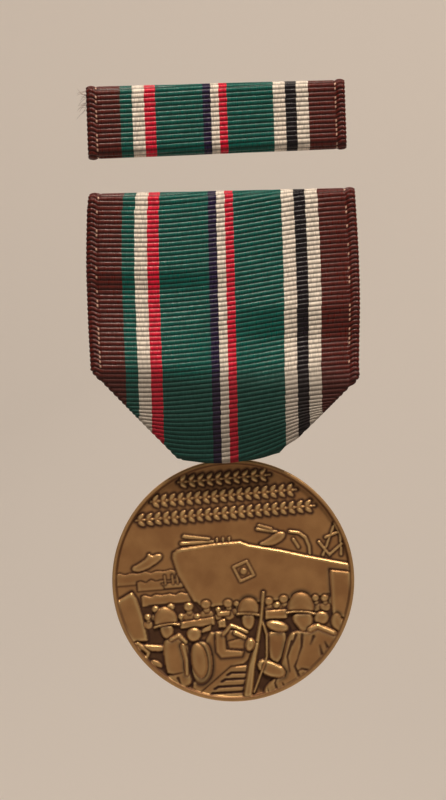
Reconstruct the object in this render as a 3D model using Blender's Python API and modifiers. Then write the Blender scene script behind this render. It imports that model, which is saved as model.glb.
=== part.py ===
"""Campaign medal hanging from its ribbon and pin brooch, with the ribbon bar that belongs to it.

The medal is modelled upright, as it is worn: +Z is up, the front faces -Y and +X is to the right of
someone who looks at it. The origin is the middle of the brooch's pin. Lengths are in metres.
"""

import math

import bmesh
import bpy
from mathutils import Matrix, Vector

# Clearances
SEAT_GAP = 0.0003        # between two pieces that touch
TURN_GAP = 0.0003        # round a pin in its hole, and beside a moving piece
CUT_PAST = 0.0005        # how far a cutter runs past the wall that it cuts

# How finely round shapes are drawn
ROD_SIDES = 32
DISC_SIDES = 96
WIRE_SIDES = 12
RING_SIDES = 48
ARC_STEP = math.radians(22.5)

# Drape ribbon
RIBBON_WIDTH = 0.034925
RIBBON_THICKNESS = 0.00035
DRAPE_LENGTH = 0.0356    # top fold to the bottom of the point
PLY_GAP = 0.0007         # room behind the front ply for the corners that are turned back
TOP_BEND = 0.0011        # how softly the ribbon turns over the brooch, in front and behind
REAR_BEND = 0.0006
SLOT_BEND = 0.0004
LEFT_CUT_HEIGHT = 0.0127  # where each side starts to slant, above the bottom of the point
RIGHT_CUT_HEIGHT = 0.0108
POINT_WIDTH = 0.0144     # of the point where its rounding ends
POINT_RADIUS = 0.0032
POINT_SHIFT = 0.0009     # the point sits this far right of the middle
HEM_HEIGHT = 0.0040
TAIL_WIDTH = 0.0044      # the ribbon is gathered to this before it goes through the ring
TAPER_HEIGHT = 0.0125
TAIL_END_HEIGHT = 0.0085  # the tail turns up and is sewn this far above the ring's top
LOOP_GAP = 0.0005        # room for the ring's wire inside the loop
LOOP_STEPS = 8

# Brooch plate
PLATE_INSET = 0.00036    # the ribbon covers each end of the plate by this much
SLOT_END = 0.00108       # brass left at each end of the slot
PLATE_THICKNESS = 0.0009
PLATE_BODY_HEIGHT = 0.0048
SLOT_HEIGHT = 0.0024
RAIL_HEIGHT = 0.0018
PLATE_EDGE_ROUND = 0.00015

# Pin, its hinge and its catch
PIN_END_ROOM = 0.0028    # from each end of the plate to the hinge axis and to the pin's point
PIN_DIAMETER = 0.0009
PIN_TAPER = 0.0045
POINT_DIAMETER = 0.00016
EYE_WALL = 0.00035
EYE_EXTRA_HEIGHT = 0.0003  # the eye is this much taller than the wire
RIVET_DIAMETER = 0.0009
RIVET_HEAD_OVERHANG = 0.00035
RIVET_HEAD_HEIGHT = 0.0004
EAR_THICKNESS = 0.0006
EAR_WALL = 0.00055
BRACKET_BASE = 0.0006
SLEEVE_LENGTH = 0.0050
SLEEVE_PAST_POINT = 0.0007
HOUSING_LENGTH = 0.0030
SLEEVE_WALL = 0.00045
HOUSING_WALL = 0.0005
CATCH_FOOT = 0.0005
CATCH_FOOT_HEIGHT = 0.0036
CATCH_RAISED = 0.0001    # the housing's round wall stands this much clear of its foot's underside
TAB_WIDTH = 0.0009
TAB_THICKNESS = 0.0007
TAB_RISE = 0.0013

# Medal
DISC_DIAMETER = 0.03175
DISC_THICKNESS = 0.0026
DISC_EDGE_ROUND = 0.00035
DISC_TILT = math.radians(3.5)   # the medal hangs turned a little to its right
COVERED = 0.0004         # how far the ribbon's point hides the medal's top edge
HANG_X = -0.0009         # the loop of ribbon that holds the ring, from the middle of the ribbon
RING_DIAMETER = 0.0088   # at the middle of the wire
RING_WIRE = 0.0011
LUG_GAP = 0.00035        # round the ring's wire in the lug's hole
LUG_WALL = 0.0006
LUG_WIDTH = 0.0014
LUG_FOOT_WIDTH = 0.0030
LUG_FOOT_HEIGHT = 0.0006
LUG_FOOT_DEPTH = 0.0018

# Ribbon bar
BAR_WIDTH = 0.0336
BAR_HEIGHT = 0.0092
BAR_DEPTH = 0.0026
BAR_RIBBON_THICKNESS = 0.0003
BAR_SHEET = 0.00035
BAR_LIP = 0.0020         # how far each edge of the channel is folded in behind
BAR_CHANNEL_INSET = 0.0005
BAR_BEND = 0.0009        # of the ribbon at the bar's long edges
BAR_RISE = 0.00945       # middle of the bar above the top of the drape
BAR_SHIFT = -0.0004
BAR_TILT = math.radians(0.7)

# Sizes and places worked out from the driving ones
PLATE_WIDTH = RIBBON_WIDTH - 2 * PLATE_INSET
SLOT_WIDTH = PLATE_WIDTH - 2 * SLOT_END
PIN_REACH = PLATE_WIDTH - 2 * PIN_END_ROOM
PIN_RADIUS = PIN_DIAMETER / 2
SLEEVE_BORE = PIN_RADIUS + TURN_GAP
SLEEVE_RADIUS = SLEEVE_BORE + SLEEVE_WALL
HOUSING_BORE = SLEEVE_RADIUS + TURN_GAP
HOUSING_RADIUS = HOUSING_BORE + HOUSING_WALL
PLATE_BACK = -(HOUSING_RADIUS + CATCH_RAISED + SEAT_GAP)
PLATE_FRONT = PLATE_BACK - PLATE_THICKNESS
PLATE_BOTTOM = -PLATE_BODY_HEIGHT / 2
SLOT_BOTTOM = PLATE_BODY_HEIGHT / 2
SLOT_TOP = SLOT_BOTTOM + SLOT_HEIGHT
PLATE_TOP = SLOT_TOP + RAIL_HEIGHT
HALF_PLY = RIBBON_THICKNESS / 2
REAR_PLY = PLATE_FRONT - SEAT_GAP - HALF_PLY
FRONT_PLY = REAR_PLY - RIBBON_THICKNESS - PLY_GAP
OVER_PLY = PLATE_BACK + SEAT_GAP + HALF_PLY
DRAPE_TOP = PLATE_TOP + SEAT_GAP + RIBBON_THICKNESS
DRAPE_BOTTOM = DRAPE_TOP - DRAPE_LENGTH
DISC_RADIUS = DISC_DIAMETER / 2
RING_RADIUS = RING_DIAMETER / 2
WIRE_RADIUS = RING_WIRE / 2
LUG_BORE = WIRE_RADIUS + LUG_GAP
LUG_RADIUS = LUG_BORE + LUG_WALL
LUG_RISE = LUG_RADIUS + SEAT_GAP
HANG_Y = REAR_PLY + HALF_PLY + SEAT_GAP + max(LUG_RADIUS, DISC_THICKNESS / 2)
DISC_TOP = DRAPE_BOTTOM + COVERED
RING_MIDDLE = DISC_TOP + LUG_RISE * math.cos(DISC_TILT) + RING_RADIUS
LOOP_SAG = math.sqrt(RING_RADIUS**2 - (TAIL_WIDTH / 2) ** 2)
RING_PIVOT = Vector((HANG_X, HANG_Y, RING_MIDDLE + (RING_RADIUS + LOOP_SAG) / 2))
TAIL_PLY = HANG_Y + WIRE_RADIUS + LOOP_GAP + HALF_PLY
LOOP_RADIUS = (TAIL_PLY - REAR_PLY) / 2
LOOP_Y = REAR_PLY + LOOP_RADIUS
LOOP_MIDDLE = (
    RING_MIDDLE
    + math.sqrt((RING_RADIUS - WIRE_RADIUS) ** 2 - (TAIL_WIDTH / 2) ** 2)
    - LOOP_GAP
    + math.sqrt((LOOP_RADIUS - HALF_PLY) ** 2 - (HANG_Y - LOOP_Y) ** 2)
)
DISC_PIVOT = Vector((HANG_X, HANG_Y, RING_MIDDLE)) + Vector(
    (math.sin(DISC_TILT), 0.0, -math.cos(DISC_TILT))
) * RING_RADIUS
PIN_HINGE_X = -PIN_REACH / 2
RIVET_RADIUS = RIVET_DIAMETER / 2
RIVET_HOLE = RIVET_RADIUS + TURN_GAP
EYE_RADIUS = RIVET_HOLE + EYE_WALL
EYE_HEIGHT = PIN_DIAMETER + EYE_EXTRA_HEIGHT
EAR_RADIUS = RIVET_HOLE + EAR_WALL
EAR_INSIDE = EYE_HEIGHT / 2 + TURN_GAP
EAR_OUTSIDE = EAR_INSIDE + EAR_THICKNESS
BRACKET_FRONT = PLATE_BACK + SEAT_GAP
CATCH_GAP = PIN_RADIUS + TURN_GAP
SLEEVE_END = PIN_REACH / 2 + SLEEVE_PAST_POINT
SLEEVE_START = SLEEVE_END - SLEEVE_LENGTH
HOUSING_START = SLEEVE_START + TURN_GAP
HOUSING_END = HOUSING_START + HOUSING_LENGTH
BAR_MIDDLE = Vector((BAR_SHIFT, FRONT_PLY - HALF_PLY, DRAPE_TOP + BAR_RISE))

for old in list(bpy.data.objects):
    bpy.data.objects.remove(old, do_unlink=True)
parts = bpy.data.collections.new("campaign_medal")
helpers = bpy.data.collections.new("cutters")
for group in (parts, helpers):
    bpy.context.scene.collection.children.link(group)


def material(name, colour, roughness, metallic):
    made = bpy.data.materials.new(name)
    made.use_nodes = True
    shader = made.node_tree.nodes["Principled BSDF"]
    shader.inputs["Base Color"].default_value = (*colour, 1.0)
    shader.inputs["Roughness"].default_value = roughness
    shader.inputs["Metallic"].default_value = metallic
    return made


ribbon_cloth = material("green striped grosgrain", (0.02, 0.15, 0.08), 0.7, 0.0)
bronze = material("antique bronze", (0.23, 0.12, 0.03), 0.4, 1.0)
ring_bronze = material("bronze wire", (0.32, 0.18, 0.06), 0.35, 1.0)
plate_brass = material("stamped brass", (0.55, 0.38, 0.13), 0.35, 1.0)
pin_steel = material("nickel plated steel", (0.55, 0.54, 0.50), 0.25, 1.0)


def place(obj, surface, parent=None):
    """Gives a finished piece its material and, if it moves, the empty on its joint's axis."""
    obj.data.materials.append(surface)
    parts.objects.link(obj)
    obj.parent = parent
    return obj


def pivot(name, location, turn_y=0.0, parent=None):
    made = bpy.data.objects.new(name, None)
    made.empty_display_size = 0.002
    made.location = location
    made.rotation_euler = (0.0, turn_y, 0.0)
    made.parent = parent
    parts.objects.link(made)
    return made


def from_bmesh(name, build):
    mesh = bpy.data.meshes.new(name)
    work = bmesh.new()
    build(work)
    work.to_mesh(mesh)
    work.free()
    return bpy.data.objects.new(name, mesh)


def block(name, low, high):
    """A box between two corners."""
    low, high = Vector(low), Vector(high)

    def build(work):
        bmesh.ops.create_cube(work, size=1.0)
        bmesh.ops.scale(work, vec=high - low, verts=work.verts)
        bmesh.ops.translate(work, vec=(low + high) / 2, verts=work.verts)

    return from_bmesh(name, build)


AXIS_TURN = {"X": Matrix.Rotation(math.pi / 2, 3, "Y"), "Z": Matrix.Identity(3)}


def rod(name, axis, start, end, radius, middle=(0.0, 0.0, 0.0)):
    """A round bar from start to end along one axis; middle is a point on that axis."""

    def build(work):
        bmesh.ops.create_cone(
            work, cap_ends=True, segments=ROD_SIDES, radius1=radius, radius2=radius, depth=end - start
        )
        bmesh.ops.translate(work, vec=(0.0, 0.0, (start + end) / 2), verts=work.verts)
        bmesh.ops.rotate(work, matrix=AXIS_TURN[axis], verts=work.verts)
        bmesh.ops.translate(work, vec=middle, verts=work.verts)

    return from_bmesh(name, build)


def combine(target, other, operation):
    """Joins or cuts with a second shape, which is kept as a hidden helper."""
    other.name = f"{target.name}_{other.name}"
    other.hide_render = True
    other.display_type = "WIRE"
    helpers.objects.link(other)
    other.parent = target
    boolean = target.modifiers.new(other.name, "BOOLEAN")
    boolean.operation = operation
    boolean.solver = "EXACT"
    boolean.object = other


def turned(name, profile, turn, steps):
    """A turned piece: the profile runs from the top of the axis down its outer side to the bottom."""

    def build(work):
        points = [work.verts.new((radius, 0.0, height)) for radius, height in profile]
        for first, second in zip(points, points[1:]):
            work.edges.new((first, second))

    made = from_bmesh(name, build)
    made.rotation_euler = turn
    screw = made.modifiers.new("turn", "SCREW")
    screw.axis = "Z"
    screw.steps = steps
    screw.render_steps = steps
    screw.use_merge_vertices = True
    screw.merge_threshold = SEAT_GAP / 30
    return made


def rounded_path(corners):
    """Points along a bent line: each corner is (y, z, bend radius), and the ends have radius 0."""
    points = []
    for index, (y, z, radius) in enumerate(corners):
        corner = Vector((y, z))
        if radius == 0.0:
            points.append(corner)
            continue
        before = (Vector(corners[index - 1][:2]) - corner).normalized()
        after = (Vector(corners[index + 1][:2]) - corner).normalized()
        half = before.angle(after) / 2
        middle = corner + (before + after).normalized() * (radius / math.sin(half))
        start = corner + before * (radius / math.tan(half)) - middle
        turn = start.angle_signed(corner + after * (radius / math.tan(half)) - middle)
        steps = max(2, round(abs(turn) / ARC_STEP))
        for step in range(steps + 1):
            angle = -turn * step / steps
            points.append(middle + Matrix.Rotation(angle, 2) @ start)
    return points


def strip(name, rows, thickness):
    """A band of sheet: rows of (left x, right x, y, z) joined one to the next, then thickened evenly."""

    def build(work):
        edges = [
            (work.verts.new((left, y, z)), work.verts.new((right, y, z))) for left, right, y, z in rows
        ]
        for (left, right), (next_left, next_right) in zip(edges, edges[1:]):
            work.faces.new((left, right, next_right, next_left))

    made = from_bmesh(name, build)
    solidify = made.modifiers.new("thickness", "SOLIDIFY")
    solidify.thickness = thickness
    solidify.offset = 0.0
    solidify.use_even_offset = True
    return made


def point_half_width(height, cut_height):
    """Half width of the drape at a height above its bottom: a rounded point, a slant, then the full width."""
    full = RIBBON_WIDTH / 2
    slant_start = POINT_RADIUS * (1 - math.cos(math.pi / 4))
    if height >= cut_height:
        return full
    if height >= slant_start:
        share = (height - slant_start) / (cut_height - slant_start)
        return POINT_WIDTH / 2 + share * (full - POINT_WIDTH / 2)
    flat = POINT_WIDTH / 2 - POINT_RADIUS * math.sin(math.pi / 4)
    return flat + math.sqrt(max(0.0, POINT_RADIUS**2 - (POINT_RADIUS - height) ** 2))


def row_at(y, z):
    """A row of the drape's front, as wide as the outline is at its height above the bottom of the point."""
    height = z - DRAPE_BOTTOM
    sides = []
    for sign, cut_height in ((-1, LEFT_CUT_HEIGHT), (1, RIGHT_CUT_HEIGHT)):
        shift = POINT_SHIFT * max(0.0, 1 - height / cut_height)
        sides.append(sign * point_half_width(height, cut_height) + shift)
    return (*sides, y, z)


def drape_rows():
    """The ribbon from its hem, up the front, over the rail, through the slot and down round the ring."""
    fold = (REAR_PLY - FRONT_PLY) / 2
    fold_bend = 0.95 * fold  # just under a half circle, so that the two bends don't meet
    bottom = DRAPE_BOTTOM + HALF_PLY
    slant_start = DRAPE_BOTTOM + max(POINT_RADIUS * (1 - math.cos(math.pi / 4)), 1.5 * fold)
    hem = rounded_path(
        [(REAR_PLY, DRAPE_BOTTOM + HEM_HEIGHT, 0.0), (REAR_PLY, slant_start, 0.0),
         (REAR_PLY, bottom, fold_bend), (FRONT_PLY, bottom, fold_bend), (FRONT_PLY, slant_start, 0.0)]
    )
    rows = [row_at(y, z) for y, z in hem]
    rows += [
        row_at(FRONT_PLY, DRAPE_BOTTOM + height) for height in sorted((LEFT_CUT_HEIGHT, RIGHT_CUT_HEIGHT))
    ]

    top = DRAPE_TOP - HALF_PLY
    over = rounded_path(
        [(FRONT_PLY, DRAPE_BOTTOM, 0.0), (FRONT_PLY, top, TOP_BEND), (OVER_PLY, top, REAR_BEND),
         (OVER_PLY, SLOT_TOP, 0.0)]
    )
    half = RIBBON_WIDTH / 2
    rows += [(-half, half, y, z) for y, z in over[1:-1]]

    half = SLOT_WIDTH / 2 - SEAT_GAP
    through = rounded_path(
        [(OVER_PLY, DRAPE_TOP, 0.0), (OVER_PLY, SLOT_TOP - SEAT_GAP - HALF_PLY, SLOT_BEND),
         (REAR_PLY, SLOT_BOTTOM + SEAT_GAP + HALF_PLY + SLOT_BEND, SLOT_BEND),
         (REAR_PLY, LOOP_MIDDLE + TAPER_HEIGHT, 0.0)]
    )
    rows += [(-half, half, y, z) for y, z in through[1:]]

    tail = (HANG_X - TAIL_WIDTH / 2, HANG_X + TAIL_WIDTH / 2)
    for step in range(LOOP_STEPS + 1):
        angle = math.pi * step / LOOP_STEPS
        y = LOOP_Y - LOOP_RADIUS * math.cos(angle)
        rows.append((*tail, y, LOOP_MIDDLE - LOOP_RADIUS * math.sin(angle)))
    sewn_ply = REAR_PLY + RIBBON_THICKNESS + SEAT_GAP
    rows.append((*tail, TAIL_PLY, RING_PIVOT.z + RING_WIRE))
    rows.append((*tail, sewn_ply, RING_PIVOT.z + RING_WIRE + TAIL_PLY - sewn_ply + LOOP_GAP))
    rows.append((*tail, sewn_ply, RING_PIVOT.z + TAIL_END_HEIGHT))
    return rows


def disc_profile():
    """Half section of the medal: flat faces and an edge rounded off on both sides."""
    half = DISC_THICKNESS / 2
    inner = DISC_RADIUS - DISC_EDGE_ROUND
    corner = [
        (inner + DISC_EDGE_ROUND * math.sin(angle), half - DISC_EDGE_ROUND * (1 - math.cos(angle)))
        for angle in (0.0, math.pi / 6, math.pi / 3, math.pi / 2)
    ]
    return [(0.0, half), *corner, *[(radius, -height) for radius, height in reversed(corner)], (0.0, -half)]


# Ribbon and its brooch plate
place(strip("drape_ribbon", drape_rows(), RIBBON_THICKNESS), ribbon_cloth)

brooch_plate = place(
    block(
        "brooch_plate",
        (-PLATE_WIDTH / 2, PLATE_FRONT, PLATE_BOTTOM),
        (PLATE_WIDTH / 2, PLATE_BACK, PLATE_TOP),
    ),
    plate_brass,
)
slot = block(
    "slot",
    (-SLOT_WIDTH / 2, PLATE_FRONT - CUT_PAST, SLOT_BOTTOM),
    (SLOT_WIDTH / 2, PLATE_BACK + CUT_PAST, SLOT_TOP),
)
combine(brooch_plate, slot, "DIFFERENCE")
edge_round = brooch_plate.modifiers.new("rounded edges", "BEVEL")
edge_round.width = PLATE_EDGE_ROUND
edge_round.segments = 2
edge_round.limit_method = "ANGLE"

# Hinge: a U of sheet with round-ended ears, the pin's eye between them and a rivet through all three
hinge_bracket = place(
    block(
        "hinge_bracket",
        (PIN_HINGE_X - EAR_RADIUS, BRACKET_FRONT, -EAR_OUTSIDE),
        (PIN_HINGE_X + EAR_RADIUS, 0.0, EAR_OUTSIDE),
    ),
    plate_brass,
)
hinge_middle = (PIN_HINGE_X, 0.0, 0.0)
combine(
    hinge_bracket,
    rod("ear_ends", "Z", -EAR_OUTSIDE, EAR_OUTSIDE, EAR_RADIUS, middle=hinge_middle),
    "UNION",
)
combine(
    hinge_bracket,
    block(
        "between_ears",
        (PIN_HINGE_X - 2 * EAR_RADIUS, BRACKET_FRONT + BRACKET_BASE, -EAR_INSIDE),
        (PIN_HINGE_X + 2 * EAR_RADIUS, 2 * EAR_RADIUS, EAR_INSIDE),
    ),
    "DIFFERENCE",
)
combine(
    hinge_bracket,
    rod("rivet_hole", "Z", -EAR_OUTSIDE - CUT_PAST, EAR_OUTSIDE + CUT_PAST, RIVET_HOLE, middle=hinge_middle),
    "DIFFERENCE",
)

head_inside = EAR_OUTSIDE + SEAT_GAP
head_radius = RIVET_RADIUS + RIVET_HEAD_OVERHANG
dome = [
    (head_radius * math.sin(angle), head_inside + RIVET_HEAD_HEIGHT * math.cos(angle))
    for angle in (0.0, math.pi / 6, math.pi / 3, math.pi / 2)
]
rivet_profile = [*dome, (RIVET_RADIUS, head_inside)]
rivet_profile += [(radius, -height) for radius, height in reversed(rivet_profile)]
hinge_rivet = place(turned("hinge_rivet", rivet_profile, (0.0, 0.0, 0.0), ROD_SIDES), pin_steel)
hinge_rivet.location = hinge_middle

pin_pivot = pivot("pin_pivot", hinge_middle)
pin_stem = place(rod("pin_stem", "Z", -EYE_HEIGHT / 2, EYE_HEIGHT / 2, EYE_RADIUS), pin_steel, pin_pivot)
shank_start = (RIVET_HOLE + EYE_RADIUS) / 2
taper_middle = (2 * PIN_RADIUS + POINT_DIAMETER / 2) / 3
shank = [
    (0.0, PIN_REACH),
    (POINT_DIAMETER / 2, PIN_REACH - POINT_DIAMETER / 2),
    (taper_middle, PIN_REACH - PIN_TAPER / 2),
    (PIN_RADIUS, PIN_REACH - PIN_TAPER),
    (PIN_RADIUS, shank_start),
    (0.0, shank_start),
]
combine(pin_stem, turned("shank", shank, (0.0, math.pi / 2, 0.0), ROD_SIDES), "UNION")
combine(pin_stem, rod("eye_hole", "Z", -EYE_HEIGHT, EYE_HEIGHT, RIVET_HOLE), "DIFFERENCE")

# Catch: a housing on a foot, open at the back, and the sleeve that turns inside it to shut the way out
catch_base = place(rod("catch_base", "X", HOUSING_START, HOUSING_END, HOUSING_RADIUS), plate_brass)
combine(
    catch_base,
    block(
        "foot",
        (HOUSING_START, BRACKET_FRONT, -CATCH_FOOT_HEIGHT / 2),
        (HOUSING_END, BRACKET_FRONT + CATCH_FOOT, CATCH_FOOT_HEIGHT / 2),
    ),
    "UNION",
)
combine(
    catch_base,
    rod("bore", "X", HOUSING_START - CUT_PAST, HOUSING_END + CUT_PAST, HOUSING_BORE),
    "DIFFERENCE",
)
combine(
    catch_base,
    block(
        "mouth",
        (HOUSING_START - CUT_PAST, 0.0, -CATCH_GAP),
        (HOUSING_END + CUT_PAST, 2 * HOUSING_RADIUS, CATCH_GAP),
    ),
    "DIFFERENCE",
)

catch_sleeve = place(rod("catch_sleeve", "X", SLEEVE_START, SLEEVE_END, SLEEVE_RADIUS), plate_brass)
combine(
    catch_sleeve,
    block(
        "tab",
        (SLEEVE_END - TAB_WIDTH, -TAB_THICKNESS / 2, SLEEVE_BORE + SLEEVE_WALL / 2),
        (SLEEVE_END, TAB_THICKNESS / 2, SLEEVE_RADIUS + TAB_RISE),
    ),
    "UNION",
)
combine(
    catch_sleeve,
    rod("bore", "X", SLEEVE_START - CUT_PAST, SLEEVE_END + CUT_PAST, SLEEVE_BORE),
    "DIFFERENCE",
)
combine(
    catch_sleeve,
    block(
        "mouth",
        (SLEEVE_START - CUT_PAST, 0.0, -CATCH_GAP),
        (SLEEVE_END + CUT_PAST, 2 * SLEEVE_RADIUS, CATCH_GAP),
    ),
    "DIFFERENCE",
)

# Ring, lug and medal
ring_pivot = pivot("ring_pivot", RING_PIVOT)
bpy.ops.mesh.primitive_torus_add(
    major_radius=RING_RADIUS, minor_radius=WIRE_RADIUS, major_segments=RING_SIDES, minor_segments=WIRE_SIDES,
    location=(0.0, 0.0, RING_MIDDLE - RING_PIVOT.z), rotation=(math.pi / 2, 0.0, 0.0),
)
suspension_ring = bpy.context.object
suspension_ring.name = "suspension_ring"
for group in list(suspension_ring.users_collection):
    group.objects.unlink(suspension_ring)
place(suspension_ring, ring_bronze, ring_pivot)

disc_pivot = pivot("disc_pivot", DISC_PIVOT - RING_PIVOT, turn_y=-DISC_TILT, parent=ring_pivot)
planchet = place(
    turned("planchet", disc_profile(), (math.pi / 2, 0.0, 0.0), DISC_SIDES), bronze, disc_pivot
)
planchet.location = (0.0, 0.0, -LUG_RISE - DISC_RADIUS)

suspension_lug = place(
    rod("suspension_lug", "X", -LUG_WIDTH / 2, LUG_WIDTH / 2, LUG_RADIUS), bronze, disc_pivot
)
combine(
    suspension_lug,
    block(
        "foot",
        (-LUG_FOOT_WIDTH / 2, -LUG_FOOT_DEPTH / 2, -LUG_RADIUS),
        (LUG_FOOT_WIDTH / 2, LUG_FOOT_DEPTH / 2, LUG_FOOT_HEIGHT - LUG_RADIUS),
    ),
    "UNION",
)
combine(suspension_lug, rod("eye", "X", -LUG_WIDTH, LUG_WIDTH, LUG_BORE), "DIFFERENCE")

# Ribbon bar: its origin is the middle of its front, and it is turned a little out of level
bar_pivot = pivot("bar_pivot", BAR_MIDDLE, turn_y=-BAR_TILT)


def wrapped(depth_front, depth_back, half_height, lip, bend, half_width):
    """Rows of a band that runs round the front of the bar and is folded in behind, edge to edge."""
    lip_end = half_height - lip
    corners = [
        (depth_back, lip_end, 0.0), (depth_back, half_height, bend), (depth_front, half_height, bend),
        (depth_front, -half_height, bend), (depth_back, -half_height, bend), (depth_back, -lip_end, 0.0),
    ]
    return [(-half_width, half_width, y, z) for y, z in rounded_path(corners)]


bar_ply = BAR_RIBBON_THICKNESS / 2
bar_half = BAR_HEIGHT / 2
sheet_inset = BAR_RIBBON_THICKNESS + SEAT_GAP + BAR_SHEET / 2
place(
    strip(
        "ribbon_bar_ribbon",
        wrapped(bar_ply, BAR_DEPTH - bar_ply, bar_half - bar_ply, BAR_LIP, BAR_BEND, BAR_WIDTH / 2),
        BAR_RIBBON_THICKNESS,
    ),
    ribbon_cloth,
    bar_pivot,
)
place(
    strip(
        "ribbon_bar_channel",
        wrapped(
            sheet_inset, BAR_DEPTH - sheet_inset, bar_half - sheet_inset, BAR_LIP,
            BAR_BEND - sheet_inset + bar_ply, BAR_WIDTH / 2 - BAR_CHANNEL_INSET,
        ),
        BAR_SHEET,
    ),
    plate_brass,
    bar_pivot,
)

for piece in parts.objects:
    if piece.type == "MESH":
        piece.data.shade_smooth()
        piece.data.set_sharp_from_angle(angle=math.radians(35))
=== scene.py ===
# %% [markdown]
# # A campaign-style service medal, finished for rendering
#
# The medal is a set of three things: a striped ribbon that is folded over a hidden brass
# brooch, a struck bronze disc that hangs from it on a wire ring, and a separate ribbon bar.
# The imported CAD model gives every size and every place. This file adds the looks: woven
# ribs and stripes, a struck relief with dark patina in its hollows, and finished metal.
#
# Lengths are written in millimetres and multiplied by MM, because a jeweller thinks in
# millimetres and Blender thinks in metres.

# %% Load the fixed frame
import math

import bpy
import bmesh
import numpy as np
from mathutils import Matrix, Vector


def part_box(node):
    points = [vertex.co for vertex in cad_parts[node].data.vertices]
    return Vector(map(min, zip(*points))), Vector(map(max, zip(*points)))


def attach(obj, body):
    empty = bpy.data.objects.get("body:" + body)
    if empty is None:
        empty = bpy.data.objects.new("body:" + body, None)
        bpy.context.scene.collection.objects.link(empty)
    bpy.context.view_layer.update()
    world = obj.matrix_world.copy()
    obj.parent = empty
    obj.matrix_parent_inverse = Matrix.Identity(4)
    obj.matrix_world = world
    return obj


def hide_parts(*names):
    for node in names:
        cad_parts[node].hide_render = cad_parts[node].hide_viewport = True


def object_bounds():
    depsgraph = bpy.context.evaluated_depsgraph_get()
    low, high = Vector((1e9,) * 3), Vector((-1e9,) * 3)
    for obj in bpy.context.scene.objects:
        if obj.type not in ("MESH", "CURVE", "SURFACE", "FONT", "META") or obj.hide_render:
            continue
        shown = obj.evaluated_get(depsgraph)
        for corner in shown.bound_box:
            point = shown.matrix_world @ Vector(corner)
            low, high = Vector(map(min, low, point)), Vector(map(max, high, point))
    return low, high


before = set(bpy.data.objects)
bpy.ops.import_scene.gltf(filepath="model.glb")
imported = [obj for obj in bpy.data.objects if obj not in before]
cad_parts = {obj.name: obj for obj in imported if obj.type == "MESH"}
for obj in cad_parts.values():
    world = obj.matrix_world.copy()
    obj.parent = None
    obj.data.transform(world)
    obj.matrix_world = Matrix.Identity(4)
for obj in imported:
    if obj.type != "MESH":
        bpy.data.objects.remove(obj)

MM = 0.001
cad_low, cad_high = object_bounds()
print("CAD box, mm:", [round(size / MM, 2) for size in cad_high - cad_low])

# %% [markdown]
# ## Places that everything else is worked out from
#
# Each box below is the box of one CAD piece at rest. The ribbon hangs in planes that lie one
# behind the other, so its front and rear planes are read from the boxes too.

# %% Read the places
drape_low, drape_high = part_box("drape_ribbon")
plate_low, plate_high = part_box("brooch_plate")
disc_low, disc_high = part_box("planchet")
ring_low, ring_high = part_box("suspension_ring")
bar_low, bar_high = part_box("ribbon_bar_ribbon")

RIBBON_WIDTH = drape_high.x - drape_low.x
RIBBON_THICK = 0.35 * MM
SEAT = 0.3 * MM
DISC_TILT = math.radians(3.5)
disc_middle = (disc_low + disc_high) / 2
DISC_RADIUS = (disc_high.x - disc_low.x) / 2
ring_middle = (ring_low + ring_high) / 2
print("ribbon width, mm:", round(RIBBON_WIDTH / MM, 3), " disc radius, mm:", round(DISC_RADIUS / MM, 3))

# %% [markdown]
# ## Camera
#
# The medal is seen square on, from about the distance at which one would hold a camera over
# a table, with a long lens. The camera is rolled a little, because nobody holds one dead level.

# %% Make the camera
CAMERA_DISTANCE = 0.30
CAMERA_ROLL = math.radians(1.3)
CAMERA_AIM = Vector((-0.36 * MM, 0.0, -20.1 * MM))
FRAME_HEIGHT = 104.2 * MM

camera_data = bpy.data.cameras.new("camera")
camera_data.sensor_width = 36.0
camera_data.lens = camera_data.sensor_width * (CAMERA_DISTANCE + drape_low.y) / FRAME_HEIGHT
camera = bpy.data.objects.new("camera", camera_data)
camera.location = CAMERA_AIM + Vector((0.0, -CAMERA_DISTANCE, 0.0))
camera.rotation_euler = (math.pi / 2, CAMERA_ROLL, 0.0)
camera.rotation_mode = "XYZ"
bpy.context.scene.collection.objects.link(camera)
bpy.context.scene.camera = camera
camera_data.clip_start = 0.01
camera_data.clip_end = 20.0
print("lens, mm:", round(camera_data.lens, 1))

# %% [markdown]
# ## Colours and nodes
#
# Colours are written as sRGB hex, as on a paint card. Blender's shaders want linear light, so
# one function turns them. A second small function adds a node with its settings and links.

# %% Two helpers for materials
def paint(code):
    """An sRGB hex colour as the linear RGBA that a shader socket takes."""
    shares = [int(code[place:place + 2], 16) / 255 for place in (1, 3, 5)]
    linear = [share / 12.92 if share <= 0.04045 else ((share + 0.055) / 1.055) ** 2.4 for share in shares]
    return (*linear, 1.0)


def add_node(material, kind, inputs=None, **settings):
    """Adds a node; inputs gives each socket a value, or an output socket to link from."""
    node = material.node_tree.nodes.new(kind)
    for name, value in settings.items():
        setattr(node, name, value)
    for name, value in (inputs or {}).items():
        if isinstance(value, bpy.types.NodeSocket):
            material.node_tree.links.new(value, node.inputs[name])
        else:
            node.inputs[name].default_value = value
    return node


def new_material(name):
    """An empty material with a Principled shader and its output."""
    material = bpy.data.materials.new(name)
    material.use_nodes = True
    material.node_tree.nodes.clear()
    shader = add_node(material, "ShaderNodeBsdfPrincipled")
    add_node(material, "ShaderNodeOutputMaterial", {"Surface": shader.outputs["BSDF"]})
    return material, shader


def link(material, source, target):
    material.node_tree.links.new(source, target)


# %% [markdown]
# ## Floor and backdrop
#
# The set is a pale sweep: a floor that curves up into a wall well behind the medal, far
# enough that nobody walks into it when the camera goes round. The wall is a floor plane whose
# far edge is extruded upwards and then beveled, as a roll of paper hangs in a studio.
#
# The paper lets a little light through from behind. That stands in for the lamps that a
# studio points at its backdrop, and it leaves the sweep evenly pale from every side.

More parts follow.
